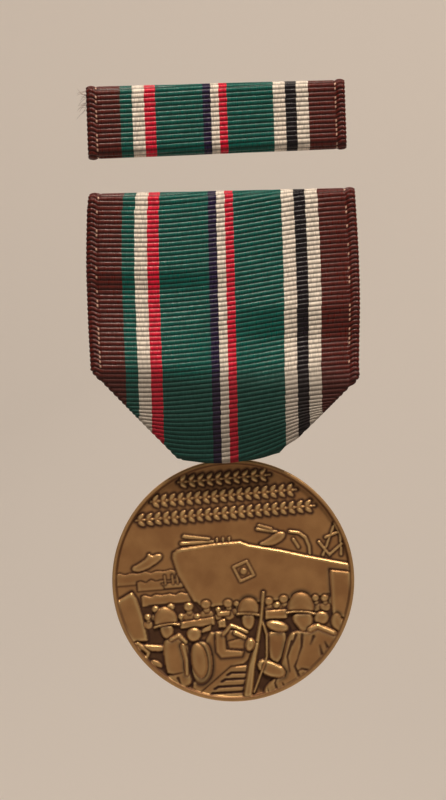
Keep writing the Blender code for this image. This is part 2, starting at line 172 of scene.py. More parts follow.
# %% Make the sweep
FLOOR_DROP = 300 * MM
WALL_BACK = 0.9
SWEEP_HALF = 2.6
SWEEP_ROUND = 0.5
WALL_HEIGHT = 2.6
CARD_COLOUR = "#D6CABD"
CARD_GLOW = 0.42           # how brightly the paper shines of itself

pale_card, card_shader = new_material("pale matte card")
card_shader.inputs["Base Color"].default_value = paint(CARD_COLOUR)
card_shader.inputs["Roughness"].default_value = 0.9
card_shader.inputs["Specular IOR Level"].default_value = 0.2
card_shader.inputs["Emission Color"].default_value = paint(CARD_COLOUR)
card_shader.inputs["Emission Strength"].default_value = CARD_GLOW

bpy.ops.object.select_all(action="DESELECT")
sweep_middle = (0, WALL_BACK - SWEEP_HALF, cad_low.z - FLOOR_DROP)
bpy.ops.mesh.primitive_plane_add(size=2 * SWEEP_HALF, location=sweep_middle)
sweep = bpy.context.object
sweep.name = "sweep"
bpy.ops.object.mode_set(mode="EDIT")
bpy.ops.mesh.select_all(action="DESELECT")
edit = bmesh.from_edit_mesh(sweep.data)
for edge in edit.edges:
    edge.select_set(all(vert.co.y > 0 for vert in edge.verts))
bmesh.update_edit_mesh(sweep.data)
bpy.ops.mesh.extrude_region_move(TRANSFORM_OT_translate={"value": (0, 0, WALL_HEIGHT)})
bpy.ops.object.mode_set(mode="OBJECT")
rounding = sweep.modifiers.new("paper bend", "BEVEL")
rounding.width = SWEEP_ROUND
rounding.segments = 16
bpy.ops.object.modifier_apply(modifier=rounding.name)
bpy.ops.object.shade_smooth()
sweep.data.materials.append(pale_card)
print("sweep faces:", len(sweep.data.polygons))

# %% [markdown]
# ## Light
#
# The main light is one warm softbox high up and a little to the right. It grazes the front,
# which is what brings out woven ribs and a struck relief. A weak wide fill from the front
# keeps the dark sides of the ribs from going black, a light behind shows the brooch, and one
# more is turned on the wall. The room adds a weak even light of its own.

# %% Light it
KEY_AT = Vector((0.10, -0.22, 0.44))
KEY_SIZE = 0.09
KEY_WATTS = 0.445
KEY_SPREAD = math.radians(70)
FILL_AT = Vector((-0.25, -0.55, -0.05))
FILL_SIZE = 0.7
FILL_WATTS = 0.12
REAR_AT = Vector((-0.3, 0.5, 0.35))
REAR_WATTS = 0.8
WALL_LIGHT_AT = Vector((0.30, 0.25, 0.55))
WALL_WATTS = 1.7
ROOM_COLOUR = "#F1E6DA"
ROOM_STRENGTH = 0.12
SEEN_STRENGTH = 0.62       # what the camera sees of the room beyond the paper


def softbox(name, at, size, watts, colour, towards=Vector((0, 0, 0))):
    """A square light; both its place and what it is turned to count from the camera's aim."""
    light = bpy.data.lights.new(name, "AREA")
    light.shape = "SQUARE"
    light.size = size
    light.energy = watts
    light.color = paint(colour)[:3]
    lamp = bpy.data.objects.new(name, light)
    lamp.location = CAMERA_AIM + at
    lamp.rotation_mode = "QUATERNION"
    lamp.rotation_quaternion = (towards - at).to_track_quat("-Z", "Y")
    bpy.context.scene.collection.objects.link(lamp)
    return lamp


key = softbox("key", KEY_AT, KEY_SIZE, KEY_WATTS, "#FFF0DE")
key.data.spread = KEY_SPREAD
softbox("fill", FILL_AT, FILL_SIZE, FILL_WATTS, "#FFF3E6")
softbox("rear", REAR_AT, FILL_SIZE, REAR_WATTS, "#FFF6EE")
softbox("wall light", WALL_LIGHT_AT, FILL_SIZE, WALL_WATTS, "#FFF6EE", Vector((0.25, WALL_BACK, 0.25)))


def light_room():
    """The room's even light, and a paler tone for what the camera sees of it past the paper."""
    world = bpy.data.worlds.new("room")
    world.use_nodes = True
    lit = world.node_tree.nodes["Background"]
    lit.inputs["Color"].default_value = paint(ROOM_COLOUR)
    lit.inputs["Strength"].default_value = ROOM_STRENGTH
    seen = add_node(world, "ShaderNodeBackground", {"Color": paint(ROOM_COLOUR), "Strength": SEEN_STRENGTH})
    path = add_node(world, "ShaderNodeLightPath")
    either = add_node(
        world, "ShaderNodeMixShader",
        {"Fac": path.outputs["Is Camera Ray"], 1: lit.outputs["Background"], 2: seen.outputs["Background"]},
    )
    link(world, either.outputs["Shader"], world.node_tree.nodes["World Output"].inputs["Surface"])
    bpy.context.scene.world = world


light_room()
bpy.context.scene.view_settings.view_transform = "Standard"

# %% [markdown]
# ## Ribbon cloth
#
# Medal ribbon is grosgrain woven from silky viscose: fine warp threads run down its length
# and cross over thick weft cords, so the cloth is a row of round ribs. The stripes are in the
# warp, so they run down the length and stay straight, and each rib moves their edges a
# little. The ribs are real geometry here. The material adds the stripe colours, a random tone
# from thread to thread that also paints the glint of single threads on each rib, painted
# shade in the grooves and a painted highlight on each crest.
#
# The stripes could be faces with materials of their own. A colour ramp over the ribbon's own
# UV map is simpler: U runs across the width and V counts ribs along the length.

# %% The stripes
STRIPES = [
    ("brown", 8.5), ("green", 3), ("white", 3), ("red", 3), ("green", 12.1), ("navy", 2), ("white", 2),
    ("red", 2), ("green", 12), ("white", 3), ("black", 3), ("white", 3), ("brown", 9.4),
]  # each stripe's width in 66ths of the ribbon; the loom laid them a little to the left
STRIPE_PAINT = {
    "brown": "#571E18", "green": "#07584F", "white": "#E3D8CB",
    "red": "#D01636", "navy": "#22173C", "black": "#170F17",
}
RIB_PITCH = 0.61 * MM
THREADS_ACROSS = 230       # warp ends that show on the front, about 0.15 mm apart
SELVEDGE = 1.25 * MM       # width of the firmer woven edge on each side
SELVEDGE_ARCH = 0.36 * MM  # how far a rib climbs in the selvedge
EDGE_BULGE = 0.09 * MM     # how far each rib's end stands out past its groove
CATCH_THREAD = 0.20 * MM   # width of the pale thread that ties each selvedge on
CATCH_PAINT = "#E2BCA4"
# dark grey-brown that is mixed in as painted shade over the lower drape
PAINTED_SHADE_TINT = "#3A302C"
SHADE_FROM = 18 * MM        # below the drape's top; the border's noise adds about 4 mm to both
SHADE_FULL = 21 * MM


def striped_ramp(material, across):
    """A colour ramp with one hard step for each stripe."""
    ramp = add_node(material, "ShaderNodeValToRGB", {"Fac": across})
    ramp.color_ramp.interpolation = "CONSTANT"
    total = sum(width for _, width in STRIPES)
    start = 0
    for index, (colour, width) in enumerate(STRIPES):
        stop = ramp.color_ramp.elements[0] if index == 0 else ramp.color_ramp.elements.new(start / total)
        stop.position = start / total
        stop.color = paint(STRIPE_PAINT[colour])
        start += width
    while len(ramp.color_ramp.elements) > len(STRIPES):
        ramp.color_ramp.elements.remove(ramp.color_ramp.elements[-1])
    return ramp.outputs["Color"]


print("stripes:", len(STRIPES), " threads across:", THREADS_ACROSS)

# %% Pale catch threads, and the lower drape, where shade is painted
CATCH_SHARE = 0.42         # ribs whose random number is above this show the thread
SHADE_UNEVEN = 9 * MM       # how much the border's noise can lower it


def catch_threads(cloth, across, rib_phase, rib_noise):
    """How much a pale thread shows: now and then, where the body meets each selvedge."""
    from_middle = add_node(cloth, "ShaderNodeMath", {0: across, 1: 0.5}, operation="SUBTRACT")
    to_side = add_node(cloth, "ShaderNodeMath", {0: from_middle.outputs[0]}, operation="ABSOLUTE")
    seam = 0.5 - SELVEDGE / RIBBON_WIDTH
    on_seam = add_node(
        cloth, "ShaderNodeMath", {0: to_side.outputs[0], 1: seam, 2: CATCH_THREAD / RIBBON_WIDTH / 2},
        operation="COMPARE",
    )
    on_crest = add_node(cloth, "ShaderNodeMath", {0: rib_phase, 1: 0.5, 2: 0.28}, operation="COMPARE")
    comes_up = add_node(cloth, "ShaderNodeMath", {0: rib_noise, 1: CATCH_SHARE}, operation="GREATER_THAN")
    dot = add_node(
        cloth, "ShaderNodeMath", {0: on_seam.outputs[0], 1: on_crest.outputs[0]}, operation="MULTIPLY"
    )
    dot = add_node(
        cloth, "ShaderNodeMath", {0: dot.outputs[0], 1: comes_up.outputs[0]}, operation="MULTIPLY"
    )
    return add_node(cloth, "ShaderNodeMath", {0: dot.outputs[0], 1: 0.65}, operation="MULTIPLY").outputs[0]


def lower_drape_shade(cloth):
    """Where shade is painted and the cloth is rougher: 0 on the upper drape and on the bar,
    1 on the lower drape, with an uneven border.
    """
    place = add_node(cloth, "ShaderNodeTexCoord").outputs["Object"]
    height = add_node(cloth, "ShaderNodeSeparateXYZ", {"Vector": place}).outputs["Z"]
    patchy = add_node(cloth, "ShaderNodeTexNoise", {"Vector": place, "Scale": 1 / (7 * MM), "Detail": 1.0})
    border = add_node(
        cloth, "ShaderNodeMath", {0: patchy.outputs["Fac"], 1: SHADE_UNEVEN, 2: height},
        operation="MULTIPLY_ADD",
    )
    shade_range = {"From Min": drape_high.z - SHADE_FROM, "From Max": drape_high.z - SHADE_FULL}
    return add_node(cloth, "ShaderNodeMapRange", {"Value": border.outputs[0], **shade_range}).outputs[0]


print("dull from, mm below the top:", [round(place / MM, 1) for place in (SHADE_FROM, SHADE_FULL)])


# %% Colour of the cloth
def cloth_colour(cloth, stripes, cell_noise, shade_and_matt):
    """The stripes, with painted shade in each rib's groove and a painted highlight on its crest,
    a random tone and painted glint thread by thread, and painted shade over the lower drape.
    """
    # painted light and shade: each rib's crest is painted bright and its groove dark, as shade falls
    # between ribs
    crest = add_node(cloth, "ShaderNodeAttribute", attribute_name="rib")
    shade = add_node(
        cloth, "ShaderNodeMapRange", {"Value": crest.outputs["Fac"], "To Min": 0.3, "To Max": 1.0}
    )
    # each thread gets a random tone, which also paints the glint of single threads
    thread_shade = add_node(
        cloth, "ShaderNodeMapRange", {"Value": cell_noise, "To Min": 0.8, "To Max": 1.2}
    )
    both = add_node(
        cloth, "ShaderNodeMath", {0: shade.outputs[0], 1: thread_shade.outputs[0]}, operation="MULTIPLY"
    )
    # painted shade on the lower drape: the ribs' painted light and shade fades to an even, darker tone
    shade_flatten = add_node(cloth, "ShaderNodeMath", {0: shade_and_matt, 1: 0.7}, operation="MULTIPLY")
    both = add_node(cloth, "ShaderNodeMix", {"Factor": shade_flatten.outputs[0], 2: both.outputs[0], 3: 0.45})
    colour = add_node(
        cloth, "ShaderNodeMix", {"Factor": 1.0, 6: stripes, 7: both.outputs[0]},
        data_type="RGBA", blend_type="MULTIPLY",
    )
    # painted shade on the lower drape: its colour is mixed a little towards dark grey-brown
    tint_share = add_node(cloth, "ShaderNodeMath", {0: shade_and_matt, 1: 0.15}, operation="MULTIPLY")
    shade_tinted = add_node(
        cloth, "ShaderNodeMix", {"Factor": tint_share.outputs[0], 6: colour.outputs[2], 7: paint(PAINTED_SHADE_TINT)},
        data_type="RGBA",
    )
    return shade_tinted.outputs[2]


# %% The ribbon's material
STRIPE_SHIFT = 0.0013      # share of the width, which is 0.05 mm


def ribbon_material(name):
    """Striped viscose: a random tone and painted glint thread by thread, painted shade in the
    grooves and on the lower drape, painted highlights on the crests, and a low, uneven shine.
    """
    cloth, shader = new_material(name)
    uv = add_node(cloth, "ShaderNodeUVMap", uv_map="weave")
    parts = add_node(cloth, "ShaderNodeSeparateXYZ", {"Vector": uv.outputs["UV"]})
    across, along = parts.outputs["X"], parts.outputs["Y"]

    # each rib shifts the stripe edges a little to either side
    rib_number = add_node(cloth, "ShaderNodeMath", {0: along}, operation="FLOOR").outputs[0]
    rib_phase = add_node(cloth, "ShaderNodeMath", {0: along}, operation="FRACT").outputs[0]
    rib_noise = add_node(
        cloth, "ShaderNodeTexWhiteNoise", {"W": rib_number}, noise_dimensions="1D"
    ).outputs["Value"]
    shift = add_node(
        cloth, "ShaderNodeMath", {0: rib_noise, 1: 2 * STRIPE_SHIFT, 2: -STRIPE_SHIFT},
        operation="MULTIPLY_ADD",
    )
    shifted = add_node(cloth, "ShaderNodeMath", {0: across, 1: shift.outputs[0]}, operation="ADD")
    striped = {
        "Factor": catch_threads(cloth, across, rib_phase, rib_noise),
        6: striped_ramp(cloth, shifted.outputs[0]), 7: paint(CATCH_PAINT),
    }
    stripes = add_node(cloth, "ShaderNodeMix", striped, data_type="RGBA").outputs[2]

    # one random number for each thread on each rib
    thread_place = add_node(
        cloth, "ShaderNodeMath", {0: across, 1: float(THREADS_ACROSS)}, operation="MULTIPLY"
    ).outputs[0]
    thread_number = add_node(cloth, "ShaderNodeMath", {0: thread_place}, operation="FLOOR").outputs[0]
    cell = add_node(cloth, "ShaderNodeCombineXYZ", {"X": thread_number, "Y": rib_number}).outputs[0]
    cell_noise = add_node(
        cloth, "ShaderNodeTexWhiteNoise", {"Vector": cell}, noise_dimensions="2D"
    ).outputs["Value"]
    # the lower drape, where shade is painted and the cloth is made rougher
    shade_and_matt = lower_drape_shade(cloth)
    link(cloth, cloth_colour(cloth, stripes, cell_noise, shade_and_matt), shader.inputs["Base Color"])

    # threads lie side by side: a fine cord across, with uneven height
    thread_phase = add_node(cloth, "ShaderNodeMath", {0: thread_place}, operation="FRACT")
    thread_round = add_node(
        cloth, "ShaderNodeMath", {0: thread_phase.outputs[0], 1: 0.5}, operation="PINGPONG"
    )
    thread_height = add_node(
        cloth, "ShaderNodeMath", {0: cell_noise, 1: 0.8, 2: thread_round.outputs[0]},
        operation="MULTIPLY_ADD",
    )
    bump = add_node(
        cloth, "ShaderNodeBump",
        {"Height": thread_height.outputs[0], "Strength": 0.5, "Distance": 0.06 * MM},
    )
    link(cloth, bump.outputs[0], shader.inputs["Normal"])

    # single threads are glossier than others, and the lower drape, where shade is painted, is rougher
    gloss = add_node(cloth, "ShaderNodeMapRange", {"Value": cell_noise, "To Min": 0.42, "To Max": 0.26})
    duller = add_node(
        cloth, "ShaderNodeMath", {0: shade_and_matt, 1: 0.25, 2: gloss.outputs[0]}, operation="MULTIPLY_ADD"
    )
    link(cloth, duller.outputs[0], shader.inputs["Roughness"])
    shader.inputs["Specular IOR Level"].default_value = 0.24
    shader.inputs["Sheen Weight"].default_value = 0.04
    shader.inputs["Sheen Roughness"].default_value = 0.35
    return cloth


ribbon_cloth = ribbon_material("ribbed viscose ribbon")
print("nodes in the cloth:", len(ribbon_cloth.node_tree.nodes))

# %% [markdown]
# ## How a length of ribbon is built
#
# A ribbon is a strip that follows a bent line seen from the side. So its shape is given in
# two steps: a side line with rounded bends, and rows of points across it. Every row lies
# along one flank or crest of a rib, which lets the ribs run a little slantwise, as they do
# where the ribbon is pulled. Both faces are made, each pushed out by the rib's height, and
# then the borders are closed, so the cloth is a thin closed skin and not a loose sheet.
#
# A plane with an array of ribs bent by a curve would be another way. It can't slant the ribs
# or turn back the corners, so the points are worked out here.

# %% Side lines
ROWS_PER_RIB = 5
RIB_STEP = RIB_PITCH / ROWS_PER_RIB
BEND_STEPS = 12            # on each rounded bend of a side line
CORE_HALF = 0.05 * MM      # half thickness in the groove between two ribs
RIB_HALF = 0.15 * MM       # what a rib adds to it


def side_line(corners):
    """Points (y, z) along a bent line; each corner is (y, z, bend radius)."""
    points = []
    for index, (y, z, radius) in enumerate(corners):
        corner = np.array((y, z))
        if radius == 0.0:
            points.append(corner)
            continue
        before = np.array(corners[index - 1][:2]) - corner
        after = np.array(corners[index + 1][:2]) - corner
        before, after = before / np.linalg.norm(before), after / np.linalg.norm(after)
        half = math.acos(max(-1.0, min(1.0, float(before @ after)))) / 2
        bisector = (before + after) / np.linalg.norm(before + after)
        middle = corner + bisector * radius / math.sin(half)
        start = corner + before * radius / math.tan(half) - middle
        end = corner + after * radius / math.tan(half) - middle
        turn = math.atan2(start[0] * end[1] - start[1] * end[0], float(start @ end))
        for step in range(BEND_STEPS + 1):
            angle = turn * step / BEND_STEPS
            spin = np.array(((math.cos(angle), -math.sin(angle)), (math.sin(angle), math.cos(angle))))
            points.append(middle + spin @ start)
    return np.array(points)


class SideLine:
    """A side line that can be asked for the point and the outward direction at any length along it."""

    def __init__(self, corners):
        self.points = side_line(corners)
        steps = np.linalg.norm(np.diff(self.points, axis=0), axis=1)
        self.along = np.concatenate(([0.0], np.cumsum(steps)))
        self.length = float(self.along[-1])

    def at(self, lengths):
        inside = np.clip(lengths, 0.0, self.length)
        y = np.interp(inside, self.along, self.points[:, 0])
        z = np.interp(inside, self.along, self.points[:, 1])
        reach = 0.02 * MM
        ahead, behind = np.clip(inside + reach, 0, self.length), np.clip(inside - reach, 0, self.length)
        run_y, run_z = (
            np.interp(ahead, self.along, places) - np.interp(behind, self.along, places)
            for places in self.points.T
        )
        size = np.hypot(run_y, run_z)
        return y, z, -run_z / size, run_y / size


print("rows for each rib:", ROWS_PER_RIB)


# %% A closed skin of cloth
def rib_height(row_numbers):
    """0 in the groove and 1 on the crest, for rows counted from a groove."""
    return np.abs(np.sin(np.pi * row_numbers / ROWS_PER_RIB)) ** 0.75


def cloth_skin(name, middle, outward, rib, weave, thick, wanted):
    """A closed skin round a grid of middle points: a face on each side wherever one is wanted,
    and a wall along every border."""
    rows, columns = middle.shape[:2]
    push = (CORE_HALF + RIB_HALF * rib)[..., None] * outward * thick[..., None]
    points = np.concatenate(((middle + push).reshape(-1, 3), (middle - push).reshape(-1, 3)))
    number = np.arange(rows * columns).reshape(rows, columns)
    quads = np.stack((number[:-1, :-1], number[:-1, 1:], number[1:, 1:], number[1:, :-1]), -1)
    quads = quads[wanted]
    back = rows * columns
    edges = np.stack((quads, np.roll(quads, -1, axis=1)), -1).reshape(-1, 2)
    edge_code = edges[:, 0] * back + edges[:, 1]
    border = edges[~np.isin(edge_code, edges[:, 1] * back + edges[:, 0])]
    wall = np.stack((border[:, 1], border[:, 0], border[:, 0] + back, border[:, 1] + back), -1)
    faces = np.concatenate((quads, quads[:, ::-1] + back, wall))
    used, faces = np.unique(faces, return_inverse=True)
    faces = faces.reshape(-1, 4)
    mesh = bpy.data.meshes.new(name)
    mesh.from_pydata(points[used].tolist(), [], faces.tolist())
    layer = mesh.uv_layers.new(name="weave")
    flat_weave = np.tile(weave.reshape(-1, 2), (2, 1))[used]
    layer.data.foreach_set("uv", flat_weave[faces.ravel()].astype(np.float32).ravel())
    crest = mesh.attributes.new("rib", "FLOAT", "POINT")
    crest.data.foreach_set("value", np.tile(rib.ravel(), 2)[used].astype(np.float32))
    piece = bpy.data.objects.new(name, mesh)
    bpy.context.scene.collection.objects.link(piece)
    mesh.shade_smooth()
    return piece


print("cloth at a crest, mm thick:", round(2 * (CORE_HALF + RIB_HALF) / MM, 2))

# %% [markdown]
# ## The drape
#
# The ribbon starts at a hem behind the point, runs up the front, turns over the brooch,
# comes back through its slot and goes down as a narrow tongue that holds the ring. Its two
# lower corners are turned back along slanting folds, so the front ends in a blunt point.
#
# A turned-back corner is a flat cloth rolled round a thin line. For a point of the cloth,
# what counts is how far past the fold line it lies: the first stretch goes round a half
# circle, and the rest lies flat behind the front.

# %% The drape's side line
half_ply = RIBBON_THICK / 2
front_y = drape_low.y + half_ply
rear_y = plate_low.y - SEAT - half_ply
over_y = plate_high.y + SEAT + half_ply
drape_top = drape_high.z
drape_bottom = drape_low.z
HEM = 4.0 * MM
SLOT_LOW = 2.4 * MM
SLOT_HIGH = 4.8 * MM
TAIL_WIDTH = 4.4 * MM
TAIL_X = ring_middle.x
TAIL_TAPER = 12.5 * MM
LOOP_ROUND = (drape_high.y - half_ply - rear_y) / 2
hem_round = 0.98 * (rear_y - front_y) / 2
print("planes of the ribbon, mm:", [round(y / MM, 3) for y in (front_y, rear_y, over_y)])
print("tail loop radius, mm:", round(LOOP_ROUND / MM, 3))

line = SideLine([
    (rear_y, drape_bottom + HEM, 0.0),
    (rear_y, drape_bottom + half_ply, hem_round),
    (front_y, drape_bottom + half_ply, hem_round),
    (front_y, drape_top - half_ply, 1.1 * MM),
    (over_y, drape_top - half_ply, 0.6 * MM),
    (over_y, SLOT_HIGH - SEAT - half_ply, 0.4 * MM),
    (rear_y, SLOT_LOW + SEAT + half_ply + 0.4 * MM, 0.4 * MM),
    (rear_y, drape_low.z + 8.85 * MM, 0.98 * LOOP_ROUND),
    (drape_high.y - half_ply, drape_low.z + 8.85 * MM, 0.98 * LOOP_ROUND),
    (drape_high.y - half_ply, -16.5 * MM, 0.5 * MM),
    (rear_y + RIBBON_THICK + SEAT, -13.5 * MM, 0.5 * MM),
    (rear_y + RIBBON_THICK + SEAT, -9.15 * MM, 0.0),
])
print("length of ribbon along the drape, mm:", round(line.length / MM, 1))

# %% [markdown]
# Three more things shape the drape. The woven ribs lie a little slantwise, because the ribbon
# was pulled when it was folded, and in each selvedge they arch upwards. The front bellies
# out and in by about a millimetre, which is what makes some bands of it bright and others
# dull. The lower edge is a shallow curve.

# %% Slanting ribs and a bellied front
FOLD_ROUND = 0.26 * MM
SIDE_BELLY = 0.02          # share by which the front widens at its fullest
FULL_LENGTH = 23 * MM      # how far down from its top the front is wider
NARROW_SHARE = 0.994       # the cloth's width against its flat width, where it isn't


def eased(share):
    """0 to 1 with a soft start and a soft end."""
    share = np.clip(share, 0.0, 1.0)
    return share * share * (3 - 2 * share)


def through(values, heights, at, soften):
    """A smooth curve through a few (value, height) points: straight runs, then softened."""
    grid = np.linspace(values[0], values[-1], 400)
    level = np.interp(grid, values, heights)
    reach = max(1, int(soften / (grid[1] - grid[0])))
    kernel = np.hanning(2 * reach + 1)
    padded = np.pad(level, reach, mode="edge")
    return np.interp(at, grid, np.convolve(padded, kernel / kernel.sum(), mode="valid"))


def rib_rise(across):
    """How far a rib has climbed at a place across the ribbon, in metres."""
    places = np.linspace(-0.5, 0.5, 201) * RIBBON_WIDTH
    slope = through(
        np.array((-17.5, -10, -7, -3, 0, 3, 9, 12, 17.5)) * MM,
        (-0.03, -0.02, 0.06, 0.085, 0.10, 0.15, 0.15, 0.08, 0.03), places, 2 * MM,
    )
    climbed = np.concatenate(([0.0], np.cumsum((slope[1:] + slope[:-1]) / 2 * np.diff(places))))
    inward = np.clip((np.abs(across) - (RIBBON_WIDTH / 2 - SELVEDGE)) / SELVEDGE, 0, 1)
    arch = SELVEDGE_ARCH * np.sin(0.8 * np.pi * inward)
    return np.interp(across, places, climbed) - climbed.mean() + arch


def belly(x, z):
    """How far the front stands out, at a place on it."""
    depth = (drape_top - z) / MM
    left = through(
        (-2.0, 0.5, 10.5, 12.8, 15.5, 23.0, 30.0, 34.6, 38.0), (0, 0, 0.75, 0.32, 0.55, 1.85, 1.1, 0.0, 0),
        depth, 1.1,
    )
    right = through(
        (-2.0, 0.5, 9.0, 15.5, 19.5, 25.5, 30.5, 34.6, 38.0), (0, 0, 0.35, 0.95, 0.45, 1.6, 1.05, 0.0, 0),
        depth, 1.1,
    )
    share = eased((x / MM + 7) / 14)
    curl = 0.25 * np.clip((np.abs(x) / MM - 14.0) / 3.4, 0, 1) ** 2 * eased(depth / 4)
    return (left * (1 - share) + right * share - curl) * MM


print("fullest, mm:", round(belly(0.0, drape_top - 23 * MM) / MM, 2))


# %% Corners turned back
class FoldLine:
    """A slanting fold on the front: past it the cloth goes round a half circle and lies flat behind."""

    def __init__(self, upper, lower, side):
        top = Vector((upper[0] * MM, drape_top + upper[1] * MM))
        bottom = Vector((lower[0] * MM, drape_top + lower[1] * MM))
        run = (bottom - top).normalized()
        self.outward = Vector((side * abs(run.y), -abs(run.x)))
        self.start = top - self.outward * FOLD_ROUND

    def past(self, x, z):
        """How far places lie past the fold line; negative before it."""
        return (x - self.start.x) * self.outward.x + (z - self.start.y) * self.outward.y

    def turn_back(self, x, z):
        """Places past the fold once they are turned back: x, z, how far behind, and the angle turned."""
        past = self.past(x, z)
        angle = np.clip(past / FOLD_ROUND, 0, np.pi)
        flat = np.clip(past - np.pi * FOLD_ROUND, 0, None)
        place = np.where(past <= 0, past, FOLD_ROUND * np.sin(angle) - flat)
        behind = FOLD_ROUND * (1 - np.cos(angle))
        return x + (place - past) * self.outward.x, z + (place - past) * self.outward.y, behind, angle


left_fold = FoldLine((-17.46, -22.9), (-6.3, -34.8), -1)
right_fold = FoldLine((17.3, -24.7), (7.6, -33.9), 1)
print("folds start at x, mm:", [round(fold.start.x / MM, 2) for fold in (left_fold, right_fold)])

# %% How the drape's cloth lies
POINTS_PER_BEND = BEND_STEPS + 1
bottom_start = line.along[1]
front_start = line.along[2 * POINTS_PER_BEND]
bottom_middle = (bottom_start + front_start) / 2
front_end = line.along[2 * POINTS_PER_BEND + 1]
REAR_SQUEEZE = 0.105       # the ribbon is drawn in by this share to go through the slot
SQUEEZE_LENGTH = 9 * MM
LOWER_CURVE = 0.02 / MM    # the lower edge rises by this times the square of the way to its lowest place
LOWEST_X = -0.8 * MM


def lie(lengths, across):
    """The cloth before its corners are turned back: x, y, z and the outward direction in y and z."""
    fade = eased(lengths / HEM) * (1 - eased((lengths - front_end) / (20 * MM)))
    y, z, out_y, out_z = line.at(lengths + rib_rise(across) * fade)
    low = eased((drape_bottom + 9 * MM - z) / (9 * MM)) * (lengths < front_end)
    z = z + LOWER_CURVE * (across - LOWEST_X) ** 2 * low
    depth = np.clip((drape_top - z) / FULL_LENGTH, 0, 1)
    widen = NARROW_SHARE + SIDE_BELLY * np.sin(np.pi * depth) * (lengths < front_end)
    x = across * (widen - REAR_SQUEEZE * eased((lengths - front_end) / SQUEEZE_LENGTH))
    return x, y, z, out_y, out_z


print("front, mm along the cloth:", [round(place / MM, 2) for place in (front_start, front_end)])

# %% [markdown]
# Each row of points across the ribbon now needs its two ends. On the front they are where the
# cloth has gone once round the fold line, and the turned-back corner carries on from there.
# Behind, they are the edges of the tongue that was cut to go through the ring.

# %% Ends of the rows
SIDE_ZONE = 1.6 * MM       # finer points near each edge, for the selvedge and the folds
FLAP_COLUMNS, SIDE_COLUMNS, MIDDLE_COLUMNS = 14, 11, 42
HALF_WIDTH = RIBBON_WIDTH / 2
row_lengths = np.arange(0.0, line.length, RIB_STEP)
samples = np.linspace(-HALF_WIDTH, HALF_WIDTH, 301)


def crossing(past, level):
    """Where, across the ribbon, a row passes a level beyond a fold line; the selvedge if it never does."""
    if past[0] > past[-1]:
        return float(np.interp(-level, -past, samples))
    return float(np.interp(level, past, samples))


def tongue(z):
    """Middle and half width of the cut tongue at a height behind the brooch."""
    share = np.clip((z - drape_low.z - 10.6 * MM) / TAIL_TAPER, 0, 1)
    half = TAIL_WIDTH / 2 + share * (HALF_WIDTH - TAIL_WIDTH / 2)
    return TAIL_X * (1 - share), half


def row_ends(length):
    """The left and right ends of one row."""
    x, _, z, _, _ = lie(np.full_like(samples, length), samples)
    left_past, right_past = left_fold.past(x, z), right_fold.past(x, z)
    if length < front_end:
        wrap = np.pi * FOLD_ROUND * np.clip((length - bottom_middle) / (front_start - bottom_middle), 0, 1)
        return crossing(left_past, wrap), crossing(right_past, wrap)
    middle, half = tongue(float(z.mean()))
    return max(-HALF_WIDTH, middle - half), min(HALF_WIDTH, middle + half)


print("tongue, mm wide at the ring:", round(2 * tongue(drape_bottom)[1] / MM, 2))


# %% Rows of the drape
def spread(start, end, count):
    return start + (end - start) * np.arange(count) / count


def selvedge(across):
    """How far each place is into the selvedge, and its thickness: a groove, a round cord, a thin rim."""
    into_edge = np.clip((np.abs(across) - (HALF_WIDTH - SELVEDGE)) / SELVEDGE, 0, 1)
    groove = np.exp(-(((np.abs(across) - (HALF_WIDTH - SELVEDGE)) / (0.16 * MM)) ** 2))
    return into_edge, 1 + 0.6 * np.sin(np.pi * into_edge) - 0.45 * (into_edge > 0.95) - 0.4 * groove


rows_across = []
flap_shown = []
for length in row_lengths:
    left, right = row_ends(length)
    zone = min(SIDE_ZONE, (right - left) / 4)
    rows_across.append(np.concatenate((
        spread(-HALF_WIDTH, left, FLAP_COLUMNS),
        spread(left, left + zone, SIDE_COLUMNS),
        spread(left + zone, right - zone, MIDDLE_COLUMNS),
        spread(right - zone, right, SIDE_COLUMNS),
        right + (HALF_WIDTH - right) * np.arange(FLAP_COLUMNS + 1) / FLAP_COLUMNS,
    )))
    turned = front_start + 0.2 * MM < length < front_end
    flap_shown.append((turned and left + HALF_WIDTH > 0.15 * MM, turned and HALF_WIDTH - right > 0.15 * MM))
rows_across = np.array(rows_across)
flap_shown = np.array(flap_shown)
print("rows:", len(row_lengths), " columns:", rows_across.shape[1])


# %% Make the drape
def drape_cloth():
    """The whole drape as one closed skin, from the hem up the front, over and down to the tail."""
    lengths = np.repeat(row_lengths[:, None], rows_across.shape[1], axis=1)
    x, y, z, out_y, out_z = lie(lengths, rows_across)
    out_x = np.zeros_like(x)
    on_front = (lengths > bottom_middle) & (lengths < front_end)
    ribs = np.repeat(rib_height(np.arange(len(row_lengths)))[:, None], x.shape[1], axis=1)

    behind = np.zeros_like(x)
    for fold in (left_fold, right_fold):
        new_x, new_z, offset, angle = fold.turn_back(x, z)
        turned = on_front & (angle > 0)
        x, z = np.where(turned, new_x, x), np.where(turned, new_z, z)
        behind = np.where(turned, offset, behind)
        out_x = np.where(turned, np.sin(angle) * fold.outward.x, out_x)
        out_z = np.where(turned, np.sin(angle) * fold.outward.y, out_z)
        out_y = np.where(turned, -np.cos(angle), out_y)
    y = y + behind
    y = np.where(on_front, y - belly(x, z), y)

    into_edge, thick = selvedge(rows_across)
    x = x + np.sign(rows_across) * EDGE_BULGE * ribs * (into_edge > 0.95)
    wanted = np.ones((len(row_lengths) - 1, x.shape[1] - 1), bool)
    both_rows = flap_shown[:-1] & flap_shown[1:]
    wanted[:, :FLAP_COLUMNS] = both_rows[:, :1]
    wanted[:, -FLAP_COLUMNS:] = both_rows[:, 1:]
    weave = np.stack((rows_across / RIBBON_WIDTH + 0.5, lengths / RIB_PITCH), -1)
    return cloth_skin(
        "striped_drape", np.stack((x, y, z), -1), np.stack((out_x, out_y, out_z), -1),
        ribs, weave, thick, wanted,
    )


